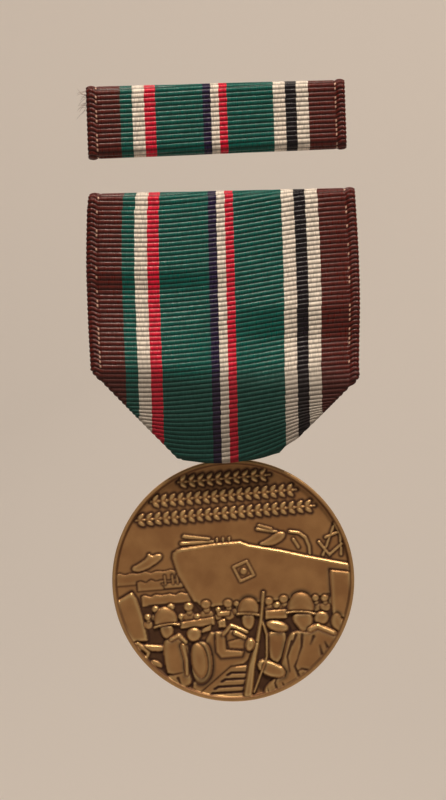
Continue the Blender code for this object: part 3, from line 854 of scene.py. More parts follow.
striped_drape = drape_cloth()
striped_drape.data.materials.append(ribbon_cloth)
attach(striped_drape, "brooch")
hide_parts("drape_ribbon")

# %% [markdown]
# ## The seam behind
#
# The ribbon's end is sewn down behind, or the ring would pull it open. The seam is a row of
# short flat stitches. Each stitch is a small tube that dips into the cloth at both ends.

# %% Tubes for threads and fibres
TUBE_RINGS, TUBE_SIDES = 7, 6


def tubes(name, paths, half_width):
    """Closed tubes along paths of points; they thin out towards both ends."""
    mesh = bpy.data.meshes.new(name)
    points, faces = [], []
    for path in paths:
        path = np.array(path)
        base = len(points)
        ways = np.gradient(path, axis=0)
        for place, way in zip(path, ways):
            way = Vector(way).normalized()
            side = way.orthogonal().normalized()
            other = way.cross(side)
            share = (len(points) - base) / TUBE_SIDES / (len(path) - 1)
            radius = half_width * (0.35 + 0.65 * math.sin(math.pi * min(1, max(0, share))) ** 0.5)
            for corner in range(TUBE_SIDES):
                turn = math.tau * corner / TUBE_SIDES
                points.append(Vector(place) + radius * (math.cos(turn) * side + math.sin(turn) * other))
        for ring in range(len(path) - 1):
            for corner in range(TUBE_SIDES):
                after = (corner + 1) % TUBE_SIDES
                low, high = base + ring * TUBE_SIDES, base + (ring + 1) * TUBE_SIDES
                faces.append((low + corner, low + after, high + after, high + corner))
        faces.append(tuple(base + corner for corner in reversed(range(TUBE_SIDES))))
        faces.append(tuple(base + (len(path) - 1) * TUBE_SIDES + corner for corner in range(TUBE_SIDES)))
    mesh.from_pydata(points, [], faces)
    piece = bpy.data.objects.new(name, mesh)
    bpy.context.scene.collection.objects.link(piece)
    bpy.ops.object.select_all(action="DESELECT")
    piece.select_set(True)
    bpy.context.view_layer.objects.active = piece
    bpy.ops.object.shade_smooth()
    return piece


print("faces of one tube:", (TUBE_RINGS - 1) * TUBE_SIDES + 2)

# %% Sew the tail down
SEAM_FROM_END = 1.2 * MM
STITCH_PITCH = 1.5 * MM
STITCH_LENGTH = 1.0 * MM
THREAD_HALF = 0.09 * MM
THREAD_LIFT = 0.04 * MM    # how far a stitch stands clear of the ribs


def tail_seam():
    """A row of stitches across the tail, near the ribbon's end."""
    seam_length = line.length - SEAM_FROM_END
    left, right = row_ends(seam_length)
    starts = np.arange(left + 1.5 * MM, right - 2.5 * MM, STITCH_PITCH)
    paths = []
    for start in starts:
        across = np.linspace(start, start + STITCH_LENGTH, TUBE_RINGS)
        x, y, z, out_y, out_z = lie(np.full_like(across, seam_length), across)
        rise = np.sin(np.pi * np.linspace(0.06, 0.94, TUBE_RINGS)) ** 0.6
        lift = (CORE_HALF + RIB_HALF + THREAD_LIFT) * rise
        towards_back = np.sign(out_y)
        paths.append(np.stack((x, y + lift * towards_back * out_y, z + lift * towards_back * out_z), -1))
    return tubes("tail_seam", paths, THREAD_HALF)


thread, thread_shader = new_material("waxed cotton sewing thread")
thread_shader.inputs["Base Color"].default_value = paint("#26403A")
thread_shader.inputs["Roughness"].default_value = 0.6
tail_seam_piece = tail_seam()
tail_seam_piece.data.materials.append(thread)
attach(tail_seam_piece, "brooch")
print("stitches' faces:", len(tail_seam_piece.data.polygons))

# %% [markdown]
# ## The ribbon bar
#
# The bar is the same ribbon, wrapped round a small brass channel. Its side line is a C: a
# lip behind, up the front, and a lip behind again. The cloth is made by the same function.

# %% Sizes of the bar
BAR_LIP = 2.0 * MM
BAR_TILT = math.radians(0.7)
BAR_EDGE_BEND = 0.9 * MM
BAR_LOWER_BEND = 1.15 * MM  # the lower edge is folded more loosely
BAR_TAPER = 0.026          # the bar is a little taller at its left end
bar_middle = (bar_low + bar_high) / 2
bar_half_width = (bar_high.x - bar_low.x) / 2 - 0.05 * MM
bar_height = (bar_high.z - bar_low.z) - (bar_high.x - bar_low.x) * math.sin(BAR_TILT)
bar_half_height = bar_height / 2 - half_ply
bar_front = bar_low.y + half_ply
bar_rear = bar_high.y - half_ply


def turned_about(middle, angle, x, z):
    """Points (x, z) measured from a middle, turned counter-clockwise as seen from the front."""
    return (
        middle.x + x * math.cos(angle) - z * math.sin(angle),
        middle.z + x * math.sin(angle) + z * math.cos(angle),
    )


print("bar, mm:", [round(size / MM, 2) for size in (2 * bar_half_width, bar_height)])


# %% Make the bar's ribbon
def bar_cloth():
    """The ribbon wrapped round the bar, and its length."""
    low, high = -bar_half_height, bar_half_height
    wrap = SideLine([
        (bar_rear, low + BAR_LIP, 0.0),
        (bar_rear, low, BAR_LOWER_BEND),
        (bar_front, low, BAR_LOWER_BEND),
        (bar_front, high, BAR_EDGE_BEND),
        (bar_rear, high, BAR_EDGE_BEND),
        (bar_rear, high - BAR_LIP, 0.0),
    ])
    lengths = np.arange(0.0, wrap.length, RIB_STEP)
    across = np.concatenate((
        spread(-HALF_WIDTH, -HALF_WIDTH + SIDE_ZONE, SIDE_COLUMNS),
        spread(-HALF_WIDTH + SIDE_ZONE, HALF_WIDTH - SIDE_ZONE, MIDDLE_COLUMNS),
        spread(HALF_WIDTH - SIDE_ZONE, HALF_WIDTH, SIDE_COLUMNS),
        (HALF_WIDTH,),
    ))
    across = np.tile(across, (len(lengths), 1))
    lengths = np.repeat(lengths[:, None], across.shape[1], axis=1)
    climb = 0.010 * across + 0.25 * MM * np.sin(across / (9 * MM))
    into_edge, thick = selvedge(across)
    y, z, out_y, out_z = wrap.at(lengths + climb + SELVEDGE_ARCH * np.sin(0.8 * np.pi * into_edge))
    ribs = np.repeat(rib_height(np.arange(len(lengths)))[:, None], across.shape[1], axis=1)
    x = across * bar_half_width / HALF_WIDTH
    x = x + np.sign(across) * EDGE_BULGE * ribs * (into_edge > 0.95)
    out_x = np.zeros_like(x)
    z = z * (1 - BAR_TAPER * across / HALF_WIDTH)
    slope = 0.12 * MM * np.sin(across / (6 * MM)) * np.cos(z / bar_half_height)
    y = y + slope * (out_y < -0.5)
    turned_x, turned_z = turned_about(bar_middle, BAR_TILT, x, z)
    weave = np.stack((across / RIBBON_WIDTH + 0.5, lengths / RIB_PITCH + 200), -1)
    piece = cloth_skin(
        "striped_bar", np.stack((turned_x, y, turned_z), -1), np.stack((out_x, out_y, out_z), -1),
        ribs, weave, thick, np.ones((len(lengths) - 1, across.shape[1] - 1), bool),
    )
    return piece, wrap.length


striped_bar, wrap_length = bar_cloth()
striped_bar.data.materials.append(ribbon_cloth)
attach(striped_bar, "ribbon_bar")
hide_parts("ribbon_bar_ribbon")
print(
    "bar ribbon faces:", len(striped_bar.data.polygons), " round the bar, mm:", round(wrap_length / MM, 1)
)

# %% [markdown]
# ## Loose fibres
#
# A few pale fibres have worked loose where the ribbon ends at the bar's upper left corner.
# Each is a thin tube on a bent path. Hair particles would do too, but they aren't a mesh.

# %% Frayed fibres at the bar's left end
FIBRE_HALF = 0.025 * MM
FIBRES = 16
fray = np.random.default_rng(7)
fibre_paths = []
for _ in range(FIBRES):
    height = bar_half_height * (0.95 - 0.55 * fray.random())
    start_x, start_z = turned_about(bar_middle, BAR_TILT, -bar_half_width + 0.1 * MM, height)
    reach = (0.5 + 1.0 * fray.random()) * MM
    curl, sweep_up = fray.normal(0, 0.5), fray.normal(-0.2, 0.7)
    steps = np.linspace(0, 1, TUBE_RINGS)
    fibre_paths.append(np.stack((
        start_x - reach * steps + 0.3 * MM * curl * steps**2,
        bar_front + 0.5 * MM + (0.5 * steps * curl + 0.2) * MM,
        start_z + reach * sweep_up * steps**1.6,
    ), -1))
loose_fibres = tubes("loose_fibres", fibre_paths, FIBRE_HALF)
fibre, fibre_shader = new_material("loose viscose fibre")
fibre_shader.inputs["Base Color"].default_value = paint("#A58F84")
fibre_shader.inputs["Roughness"].default_value = 0.5
loose_fibres.data.materials.append(fibre)
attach(loose_fibres, "ribbon_bar")
print("fibres:", len(fibre_paths))

# %% [markdown]
# ## Sinking a die
#
# The medal is struck from a die, so its relief is a field of heights: every place on its face
# has one height. A die sinker works the same way as the code below. Each shape is cut as an
# outline with a height and a soft or a crisp edge, later shapes lie over earlier ones, and a
# narrow trench is left round each so that it reads from afar.
#
# The same outlines also say where the patina stays. After striking, the medal is darkened all
# over and then rubbed, so that the dark is left in trenches and hollows, and edges shine.

# %% A sheet of heights
DIE_STEP = 0.08            # millimetres between two places on the sheet
FAR_OUTSIDE = -9.0         # what a place far from a shape counts as
FACE_HALF = 15.9
die_line = np.arange(-FACE_HALF, FACE_HALF + DIE_STEP / 2, DIE_STEP)
DIE_X, DIE_Y = np.meshgrid(die_line, die_line)


def softened(field, reach):
    """A field blurred over a reach in millimetres."""
    steps = max(1, round(reach / DIE_STEP))
    kernel = np.hanning(2 * steps + 3)[1:-1]
    kernel /= kernel.sum()
    for axis in (0, 1):
        padded = np.pad(field, [(steps, steps) if axis == side else (0, 0) for side in (0, 1)], mode="edge")
        field = sum(
            weight * np.take(padded, np.arange(field.shape[axis]) + place, axis=axis)
            for place, weight in enumerate(kernel)
        )
    return field


def rounded(points, rounds=2):
    """A closed outline with its corners cut off again and again, which makes it soft."""
    points = np.array(points, float)
    for _ in range(rounds):
        after = np.roll(points, -1, axis=0)
        points = np.stack((0.75 * points + 0.25 * after, 0.25 * points + 0.75 * after), 1).reshape(-1, 2)
    return points


def window(points, reach=1.2):
    """The part of the sheet round some points, as rows and columns."""
    points = np.array(points, float)
    low = np.searchsorted(die_line, points.min(0) - reach)
    high = np.searchsorted(die_line, points.max(0) + reach)
    return slice(low[1], high[1]), slice(low[0], high[0])


print("sheet of heights:", DIE_X.shape)


# %% How far inside an outline, a bar or an oval each place lies
def inside_outline(points):
    """How far each place lies inside an outline, in millimetres; negative outside."""
    points = np.array(points, float)
    part = window(points)
    here_x, here_y = DIE_X[part], DIE_Y[part]
    nearest = np.full(here_x.shape, 1e9)
    odd = np.zeros(here_x.shape, bool)
    for (ax, ay), (bx, by) in zip(points, np.roll(points, -1, axis=0)):
        run_x, run_y = bx - ax, by - ay
        size = max(run_x**2 + run_y**2, 1e-9)
        share = np.clip(((here_x - ax) * run_x + (here_y - ay) * run_y) / size, 0, 1)
        gap = (here_x - ax - share * run_x) ** 2 + (here_y - ay - share * run_y) ** 2
        nearest = np.minimum(nearest, gap)
        if ay != by:
            straddles = (here_y > min(ay, by)) & (here_y <= max(ay, by))
            odd ^= straddles & (here_x < ax + (here_y - ay) * run_x / run_y)
    inside = np.full(DIE_X.shape, FAR_OUTSIDE)
    inside[part] = np.where(odd, 1, -1) * np.sqrt(nearest)
    return inside


def inside_bar(points, width, end_width=None):
    """The same for a bar along a bent line, which may grow or thin from one width to another."""
    end_width = width if end_width is None else end_width
    part = window(points)
    here_x, here_y = DIE_X[part], DIE_Y[part]
    best = np.full(here_x.shape, FAR_OUTSIDE)
    count = len(points) - 1
    for index, ((ax, ay), (bx, by)) in enumerate(zip(points, points[1:])):
        run_x, run_y = bx - ax, by - ay
        share = np.clip(((here_x - ax) * run_x + (here_y - ay) * run_y) / (run_x**2 + run_y**2), 0, 1)
        gap = np.hypot(here_x - ax - share * run_x, here_y - ay - share * run_y)
        half = (width + (end_width - width) * (index + share) / count) / 2
        best = np.maximum(best, half - gap)
    inside = np.full(DIE_X.shape, FAR_OUTSIDE)
    inside[part] = best
    return inside


def inside_oval(x, y, half_width, half_height, turn=0.0):
    """The same for an oval."""
    angle = math.radians(turn)
    along = (DIE_X - x) * math.cos(angle) + (DIE_Y - y) * math.sin(angle)
    up = (DIE_Y - y) * math.cos(angle) - (DIE_X - x) * math.sin(angle)
    reach = np.hypot(along / half_width, up / half_height)
    return (1 - reach) * min(half_width, half_height)


print("shapes ready, for example", round(float(inside_oval(0, 0, 2, 1).max()), 2), "mm deep in an oval")


# %% The die itself
class Die:
    """One face of the medal: its heights in millimetres above the field, and its patina."""

    def __init__(self):
        self.height = np.zeros(DIE_X.shape)
        self.dark = np.zeros(DIE_X.shape)

    def raise_shape(self, inside, height, edge=0.25, trench=0.25, depth=0.07, shadow=0.55, keep=False):
        """Lays a shape over what is there: its height, how wide its edge rounds, and its trench."""
        near = np.clip(inside / edge, 0, 1)
        top = height * np.sqrt(1 - (1 - near) ** 2)
        if keep:
            top = top + self.height
        outside = inside <= 0
        cut = depth * np.clip(1 + inside / trench, 0, 1) ** 2
        self.height = np.where(outside, np.maximum(self.height - cut, -0.1), np.maximum(top, 0.02))
        shade = np.clip(1.5 * np.clip(1 + inside / shadow, 0, 1), 0, 1)
        self.dark = np.where(outside, np.maximum(self.dark, shade), 0.0)

    def cut_groove(self, inside, depth=0.08, shade=0.9):
        """Cuts a line into what is there."""
        near = np.clip(inside / 0.12 + 0.5, 0, 1)
        self.height = self.height - depth * near
        self.dark = np.maximum(self.dark, shade * np.clip(inside / 0.16 + 1, 0, 1))


print("a blank die is", round(float(Die().height.max()), 2), "mm high")

# %% [markdown]
# ## The obverse
#
# The design is this lesson's own: a landing at a harbour in the plain style of campaign
# medals. A bow stands over a crowd in steel helmets, with a few men in front of it whose
# faces are left blank. Where such a medal has its title, this one has three sprays of
# laurel. The outlines are in millimetres from the disc's middle, y up.

# %% Laurel in place of a title
def placed(shape, x, y, size, turn):
    """An outline drawn at the origin, scaled, turned and moved to its place."""
    angle = math.radians(turn)
    turning = np.array(((math.cos(angle), math.sin(angle)), (-math.sin(angle), math.cos(angle))))
    return np.array((x, y)) + size * np.array(shape, float) @ turning


def leaf(x, y, size, turn):
    """A pointed leaf with its stalk end at x, y."""
    shape = [(0, 0), (0.35, 0.30), (0.75, 0.22), (1.15, 0.0), (0.75, -0.22), (0.35, -0.30)]
    return rounded(placed(shape, x, y, size, turn), 1)


def laurel_row(die, start, end, y, height=0.17, pitch=1.12):
    """A straight spray: leaves in pairs that lean along the stem, with berries between."""
    count = round((end - start) / pitch)
    step = (end - start) / count
    shapes = []
    for number in range(count):
        x = start + number * step
        shapes.append(inside_outline(leaf(x, y + 0.08, 1.02, 42)))
        shapes.append(inside_outline(leaf(x, y - 0.08, 1.02, -42)))
        shapes.append(inside_oval(x + 0.74, y, 0.17, 0.17))
    shapes.append(inside_bar([(start - 0.3, y), (end + 0.2, y)], 0.16))
    die.raise_shape(np.maximum.reduce(shapes), height, edge=0.22, shadow=0.5, depth=0.06)


obverse = Die()
laurel_row(obverse, -5.9, 5.8, 13.45)
laurel_row(obverse, -9.7, 9.1, 11.15)
laurel_row(obverse, -11.8, 11.3, 8.85)
print("laurel rows done")

# %% [markdown]
# ## What lies far off
#
# A die sinker works from the back to the front, and so does this. The shore and the waves
# are low bands with a rolling upper edge. Low relief is what makes them look far away.

# %% The far shore, the small craft and the waves
def wave_top(start, end, y, swing, turns, lower):
    """An outline with a rolling upper edge."""
    xs = np.linspace(start, end, 6 * turns)
    roll = np.sin(turns * math.tau * (xs - start) / (end - start)) * (0.6 + 0.4 * np.cos(xs * 1.7))
    return [*zip(xs, y + swing * roll), (end, lower), (start, lower)]


obverse.raise_shape(inside_outline(wave_top(-15.3, -6.9, 1.95, 0.16, 5, 0.5)), 0.07, shadow=0.3)
obverse.raise_shape(inside_outline(wave_top(-12.6, -6.6, 0.75, 0.2, 4, -0.4)), 0.09, shadow=0.32)
craft = [(-13.2, 2.75), (-12.9, 2.15), (-11.5, 2.2), (-9.3, 3.35), (-9.0, 4.05), (-9.6, 4.3), (-10.4, 4.0),
         (-10.8, 4.55), (-11.1, 3.8), (-12.3, 3.1)]
obverse.raise_shape(inside_outline(rounded(craft, 1)), 0.16, shadow=0.4)
launch = [(-9.4, 0.35), (-9.0, -0.3), (-6.2, -0.35), (-6.3, 0.25)]
obverse.raise_shape(inside_outline(launch), 0.12, shadow=0.35)
for mast_x in (-8.9, -7.9, -7.3):
    obverse.raise_shape(inside_bar([(mast_x, 0.2), (mast_x - 0.05, 1.35)], 0.2), 0.12, edge=0.1, shadow=0.3)
obverse.raise_shape(inside_outline(wave_top(-12.2, -5.8, -1.15, 0.16, 4, -2.5)), 0.10, shadow=0.4)
print("shore done, highest mm:", round(float(obverse.height.max()), 3))

# %% [markdown]
# ## The ship
#
# Its deck gear is drawn first, as bars and rounded blocks, and the hull is laid over their
# feet. The hull is one flat outline with a wide soft edge, which catches the light like
# plating. The deck's edge and the frame on the bow are laid on top of it and keep its height.

# %% The bow of the ship and what stands on its deck
for barrel in ([(-6.0, 6.25), (-2.7, 5.65)], [(-6.4, 5.35), (-2.2, 5.25)]):
    obverse.raise_shape(inside_bar(barrel, 0.42, 0.34), 0.15, edge=0.18, shadow=0.4)
for post_x in (-1.7, -0.9, -0.1):
    obverse.raise_shape(inside_bar([(post_x, 5.1), (post_x, 5.55)], 0.34), 0.13, edge=0.15, shadow=0.3)
turret = [(3.4, 4.35), (5.0, 5.0), (6.3, 5.9), (7.4, 5.7), (7.1, 4.8), (5.4, 4.0)]
obverse.raise_shape(inside_bar([(3.7, 6.45), (6.2, 5.85)], 0.4), 0.15, edge=0.18, shadow=0.4)
obverse.raise_shape(inside_bar([(3.9, 6.9), (5.6, 6.3)], 0.3), 0.12, edge=0.15, shadow=0.35)
obverse.raise_shape(inside_outline(rounded(turret, 1)), 0.18, edge=0.4, shadow=0.4)
crane_arch = [(7.9, 5.75), (9.1, 5.5), (9.9, 4.8), (10.3, 3.6), (10.3, 2.6)]
obverse.raise_shape(inside_bar(crane_arch, 0.36), 0.16, edge=0.18, shadow=0.4)
obverse.raise_shape(inside_bar([(8.3, 4.7), (8.9, 3.6)], 0.34), 0.12, edge=0.16, shadow=0.35)
spars = (
    [(12.0, 2.3), (13.9, 6.4)], [(13.9, 6.4), (14.5, 4.6), (14.4, 2.2)], [(11.6, 4.1), (12.9, 2.2)],
    [(12.5, 4.6), (14.3, 5.2)], [(13.0, 2.4), (14.6, 3.6)],
)
for spar in spars:
    obverse.raise_shape(inside_bar(spar, 0.32), 0.16, edge=0.15, shadow=0.38)

hull = [
    (-7.75, 3.6), (-7.6, 4.25), (-6.6, 4.75), (-2.7, 5.0), (1.3, 5.05), (2.4, 4.5), (6.4, 3.5),
    (9.7, 2.5), (13.1, 1.55), (15.5, 0.9), (15.6, -3.0), (12.5, -4.5), (-4.0, -4.5), (-5.3, -2.6),
    (-7.2, 1.3),
]
obverse.raise_shape(inside_outline(hull), 0.20, edge=0.55, trench=0.3, depth=0.1, shadow=0.42)
deck_edge = [
    (-7.0, 4.42), (-2.7, 4.78), (1.2, 4.82), (2.3, 4.3), (6.4, 3.28), (9.7, 2.28), (13.1, 1.33),
    (15.3, 0.72),
]
obverse.raise_shape(
    inside_bar(deck_edge, 0.42), 0.06, edge=0.2, trench=0.01, depth=0.0, shadow=0.02, keep=True
)
frame_corners = [(0.15, 1.7), (1.95, 2.35), (2.75, 0.45), (0.95, -0.2), (0.15, 1.7)]
obverse.raise_shape(inside_bar(frame_corners, 0.34), 0.10, edge=0.16, shadow=0.3, keep=True)
obverse.raise_shape(inside_oval(1.45, 1.07, 0.42, 0.42), 0.12, edge=0.3, shadow=0.3, keep=True)

# %% [markdown]
# ## The ramp and the gate
#
# Both frame the crowd and lie nearest the rim, so they stand high and have a deep trench.

# %% The ramp and the gate on either side
ramp = [
    (-15.5, -1.5), (-13.4, -0.45), (-12.8, -1.5), (-11.7, -6.0), (-11.7, -7.0), (-13.8, -7.0),
    (-15.6, -4.0),
]
obverse.raise_shape(inside_outline(ramp), 0.30, edge=0.35, trench=0.3, depth=0.1, shadow=0.5)
gate = [(12.75, 0.35), (15.4, -0.15), (15.6, -3.5), (14.6, -6.3), (12.6, -5.6)]
obverse.raise_shape(inside_outline(gate), 0.26, edge=0.3, trench=0.3, depth=0.12, shadow=0.5)
obverse.raise_shape(inside_bar([(12.3, -2.9), (11.1, -6.6)], 0.22), 0.2, edge=0.1, shadow=0.3)
print("ship done, highest mm:", round(float(obverse.height.max()), 3))

# %% [markdown]
# ## The crowd
#
# A dark trough lies behind the heads. Each head is a helmet over a small blank oval and a
# pair of shoulders, and the same three ovals serve for all of them at different sizes.

# %% The crowd
trough = [
    (-12.4, -2.9), (-11.2, -2.3), (-5.0, -2.4), (-4.4, -3.2), (12.2, -3.0), (12.6, -6.0), (9.6, -8.0),
    (4.6, -12.2), (2.4, -14.8), (0.6, -12.0), (-2.6, -6.4), (-7.2, -8.2), (-8.4, -14.2),
    (-11.0, -11.6), (-13.0, -9.2), (-11.8, -7.6),
]
crowd_floor = inside_outline(trough)
obverse.height = np.where(crowd_floor > 0, -0.02, obverse.height)
obverse.dark = np.maximum(obverse.dark, np.clip(crowd_floor / 0.3 + 0.8, 0, 1) * 0.85)


def small_head(x, y, size):
    """One of the crowd: shoulders, a blank face and a helmet, each laid over the last."""
    obverse.raise_shape(inside_oval(x, y - 2.0 * size, 1.15 * size, 1.1 * size), 0.15, edge=0.4, shadow=0.3)
    face = inside_oval(x + 0.05, y - 0.8 * size, 0.62 * size, 0.7 * size)
    obverse.raise_shape(face, 0.2, edge=0.3, shadow=0.25)
    obverse.raise_shape(inside_oval(x, y, 0.86 * size, 0.78 * size), 0.27, edge=0.5 * size, shadow=0.3)


for head_x, head_y, head_size in (
    (-11.6, -3.9, 0.5), (-10.5, -2.95, 0.55), (-8.5, -2.85, 0.62), (-7.2, -4.2, 0.5), (-6.15, -3.0, 0.7),
    (-5.1, -4.4, 0.5), (-3.85, -2.85, 0.75), (-2.3, -3.7, 0.45), (-0.95, -2.95, 0.7), (0.2, -3.1, 0.5),
    (4.4, -3.1, 0.68), (5.45, -3.75, 0.55), (6.4, -3.0, 0.7), (10.5, -3.2, 0.6), (11.75, -3.3, 0.58),
):
    small_head(head_x, head_y, head_size)

crates = (
    [(-7.3, -4.9), (-2.9, -4.55), (-2.9, -5.6), (-7.4, -5.8)],
    [(-2.6, -3.95), (-0.7, -3.95), (-0.9, -4.55), (-2.4, -4.55)],
    [(-4.4, -6.0), (-3.3, -5.5), (-3.5, -6.3), (-5.0, -6.6)],
    [(3.8, -4.3), (6.7, -4.35), (6.65, -5.55), (3.75, -5.45)],
    [(-2.5, -5.2), (-1.5, -4.9), (-1.4, -6.1), (-2.4, -6.0)],
)
for crate in crates:
    obverse.raise_shape(inside_outline(crate), 0.24, edge=0.2, shadow=0.35)
print("crowd done")

# %% [markdown]
# ## The landing boat
#
# Only the boat's inside shows: a side, a bench and the floor. The floor is one block, and
# its planks are grooves cut into it, as a die sinker would cut them.

# %% The gunwale, the thwart and the planks of the landing boat
boat_side = [
    (-4.4, -6.7), (-1.1, -6.3), (1.2, -7.0), (1.9, -9.2), (0.9, -11.0), (-0.9, -11.2), (-3.2, -13.8),
    (-5.2, -14.6), (-6.9, -13.4), (-4.9, -11.8),
]
obverse.raise_shape(inside_outline(rounded(boat_side, 1)), 0.16, edge=0.3, shadow=0.4)
thwart = [(-2.9, -6.6), (-1.7, -6.6), (-1.7, -9.0), (0.6, -9.4), (0.3, -10.0), (-2.4, -10.0), (-3.0, -9.2)]
obverse.raise_shape(inside_outline(thwart), 0.24, edge=0.2, shadow=0.5)
obverse.raise_shape(inside_bar([(-1.9, -7.0), (-0.8, -5.9), (1.2, -6.9)], 0.45), 0.24, edge=0.2, shadow=0.4)
thwart_end = [(-1.4, -8.0), (1.2, -7.5), (1.1, -9.1), (-1.2, -8.8)]
obverse.raise_shape(inside_outline(thwart_end), 0.2, edge=0.2, shadow=0.4)
planks = [(-1.2, -11.3), (0.9, -11.3), (0.2, -15.4), (-3.0, -15.3), (-5.6, -14.5)]
obverse.raise_shape(inside_outline(planks), 0.16, edge=0.2, shadow=0.35)
for plank_y, plank_start in ((-12.1, -1.8), (-12.9, -2.6), (-13.8, -3.6), (-14.6, -4.4)):
    plank = [(plank_start, plank_y - 0.25), (plank_start + 0.5, plank_y), (0.5, plank_y - 0.1)]
    obverse.cut_groove(inside_bar(plank, 0.3), 0.14, 1.0)
print("boat done")

# %% [markdown]
# ## The men in front
#
# Each is a body with a wide round edge, then a blank head, a helmet, an arm and a strap laid
# over it. Creases are grooves that start wide and run out to nothing, as a graver makes them.

# %% Helmets and creases
def helmet(x, y, half_width, turn, lift=0.0):
    """A steel helmet: a high bowl whose edge flares a little and dips towards the back."""
    bowl = [(-1.0, -0.86), (-1.0, -0.1), (-0.62, 0.62), (0, 0.86), (0.62, 0.62), (1.0, -0.1), (1.0, -0.86)]
    edge = [(-1.08, -0.84), (-0.6, -0.76), (0.0, -0.74), (0.6, -0.78), (1.08, -0.92)]
    bowl = placed(bowl, x, y, half_width, turn)
    edge = placed(edge, x, y, half_width, turn)
    obverse.raise_shape(inside_outline(rounded(bowl, 2)), 0.40 + lift, edge=0.9 * half_width, shadow=0.6)
    obverse.raise_shape(inside_bar(edge, 0.24), 0.40 + lift, edge=0.14, trench=0.2, depth=0.07, shadow=0.3)


def folds(lines, width=0.34):
    """Creases in cloth: each starts deep and runs out to nothing."""
    for line in lines:
        obverse.cut_groove(inside_bar(line, width, 0.04), 0.13)


print("helmet and creases ready")

# %% The man on the left and the man beside him
left_sleeve = [(-13.9, -8.2), (-12.8, -7.8), (-9.6, -8.2)]
obverse.raise_shape(inside_bar(left_sleeve, 0.9, 0.8), 0.24, edge=0.4, shadow=0.5)
left_strap = [(-13.2, -7.2), (-11.9, -8.6), (-12.5, -9.8)]
obverse.raise_shape(inside_bar(left_strap, 0.5, 0.4), 0.26, edge=0.2, shadow=0.4)
obverse.raise_shape(inside_oval(-10.9, -10.1, 0.8, 0.35, -35), 0.12, edge=0.3, shadow=0.4)
left_body = [
    (-9.5, -6.9), (-7.9, -6.4), (-6.8, -7.2), (-6.4, -9.6), (-6.7, -11.4), (-6.4, -13.2),
    (-8.2, -13.6), (-9.6, -12.2), (-9.9, -9.8), (-9.9, -7.8),
]
obverse.raise_shape(inside_outline(rounded(left_body, 2)), 0.34, edge=0.8, shadow=0.6)
left_face = rounded(
    [(-10.2, -4.9), (-8.5, -4.9), (-8.3, -6.2), (-9.0, -7.0), (-9.7, -6.8), (-10.1, -6.0)], 2
)
obverse.raise_shape(inside_outline(left_face), 0.34, edge=0.6, shadow=0.5)
helmet(-9.3, -3.95, 1.5, 4)
collar = [(-8.8, -7.1), (-7.7, -6.6), (-6.9, -7.6)]
obverse.raise_shape(inside_bar(collar, 0.5), 0.38, edge=0.25, shadow=0.35)
near_arm = [(-7.3, -8.0), (-7.0, -9.9), (-7.1, -11.8)]
obverse.raise_shape(inside_bar(near_arm, 0.72, 0.5), 0.38, edge=0.35, shadow=0.45)
folds([[(-9.5, -11.6), (-8.9, -11.7), (-7.6, -11.5)], [(-8.3, -12.2), (-7.9, -13.4)]])

# the man beside him, with a pack
second_body = [
    (-6.3, -7.9), (-4.4, -7.5), (-3.6, -9.0), (-3.7, -12.0), (-4.9, -13.4), (-6.2, -12.9),
    (-6.6, -10.0),
]
obverse.raise_shape(inside_outline(rounded(second_body, 2)), 0.26, edge=0.5, shadow=0.6)
obverse.raise_shape(inside_oval(-5.3, -10.1, 1.05, 2.3, 4), 0.42, edge=0.8, shadow=0.6)
obverse.raise_shape(inside_oval(-5.75, -6.65, 0.95, 0.9), 0.38, edge=0.7, shadow=0.5)

print("left pair done")

# %% The man in the middle, and the nearest man on the right
# the middle man stands behind his rifle
middle_face = rounded([(0.8, -4.4), (2.4, -4.3), (2.4, -5.6), (1.9, -6.7), (1.1, -6.5), (0.6, -5.6)], 2)
obverse.raise_shape(inside_outline(middle_face), 0.32, edge=0.6, shadow=0.5)
helmet(1.75, -3.5, 1.38, -6)
obverse.raise_shape(inside_bar([(-0.3, -6.9), (0.9, -7.6)], 0.6, 0.5), 0.32, edge=0.3, shadow=0.45)

# the nearest man carries a roll and a case
middle_coat = [(3.6, -7.2), (6.2, -7.0), (6.4, -8.6), (5.2, -11.4), (4.0, -11.0), (3.7, -9.0)]
obverse.raise_shape(inside_outline(rounded(middle_coat, 1)), 0.26, edge=0.4, shadow=0.5)
obverse.raise_shape(inside_oval(11.1, -5.9, 0.95, 0.85), 0.27, edge=0.5, shadow=0.5)
far_shoulder = rounded([(12.2, -6.9), (12.7, -5.3), (13.6, -5.4), (14.1, -7.4), (13.4, -8.1)], 2)
obverse.raise_shape(inside_outline(far_shoulder), 0.27, edge=0.5, shadow=0.5)
right_body = [
    (6.6, -7.6), (7.9, -7.3), (9.9, -6.6), (11.7, -7.4), (13.4, -8.4), (12.6, -10.2), (10.6, -12.3),
    (8.2, -13.9), (5.4, -15.0), (3.4, -15.4), (2.6, -14.6), (4.9, -12.8), (5.6, -10.8),
]
obverse.raise_shape(inside_outline(rounded(right_body, 2)), 0.36, edge=0.8, shadow=0.6)
right_neck = rounded(
    [(7.5, -4.9), (9.9, -4.9), (10.0, -6.3), (9.3, -7.6), (8.3, -7.5), (7.8, -6.6), (7.3, -5.9)], 2
)
obverse.raise_shape(inside_outline(right_neck), 0.37, edge=0.6, shadow=0.5)
right_collar = [(9.5, -7.3), (10.5, -6.9), (12.6, -8.0)]
obverse.raise_shape(inside_bar(right_collar, 0.8, 0.6), 0.42, edge=0.4, shadow=0.4)
helmet(8.6, -3.6, 1.68, -5, lift=0.03)
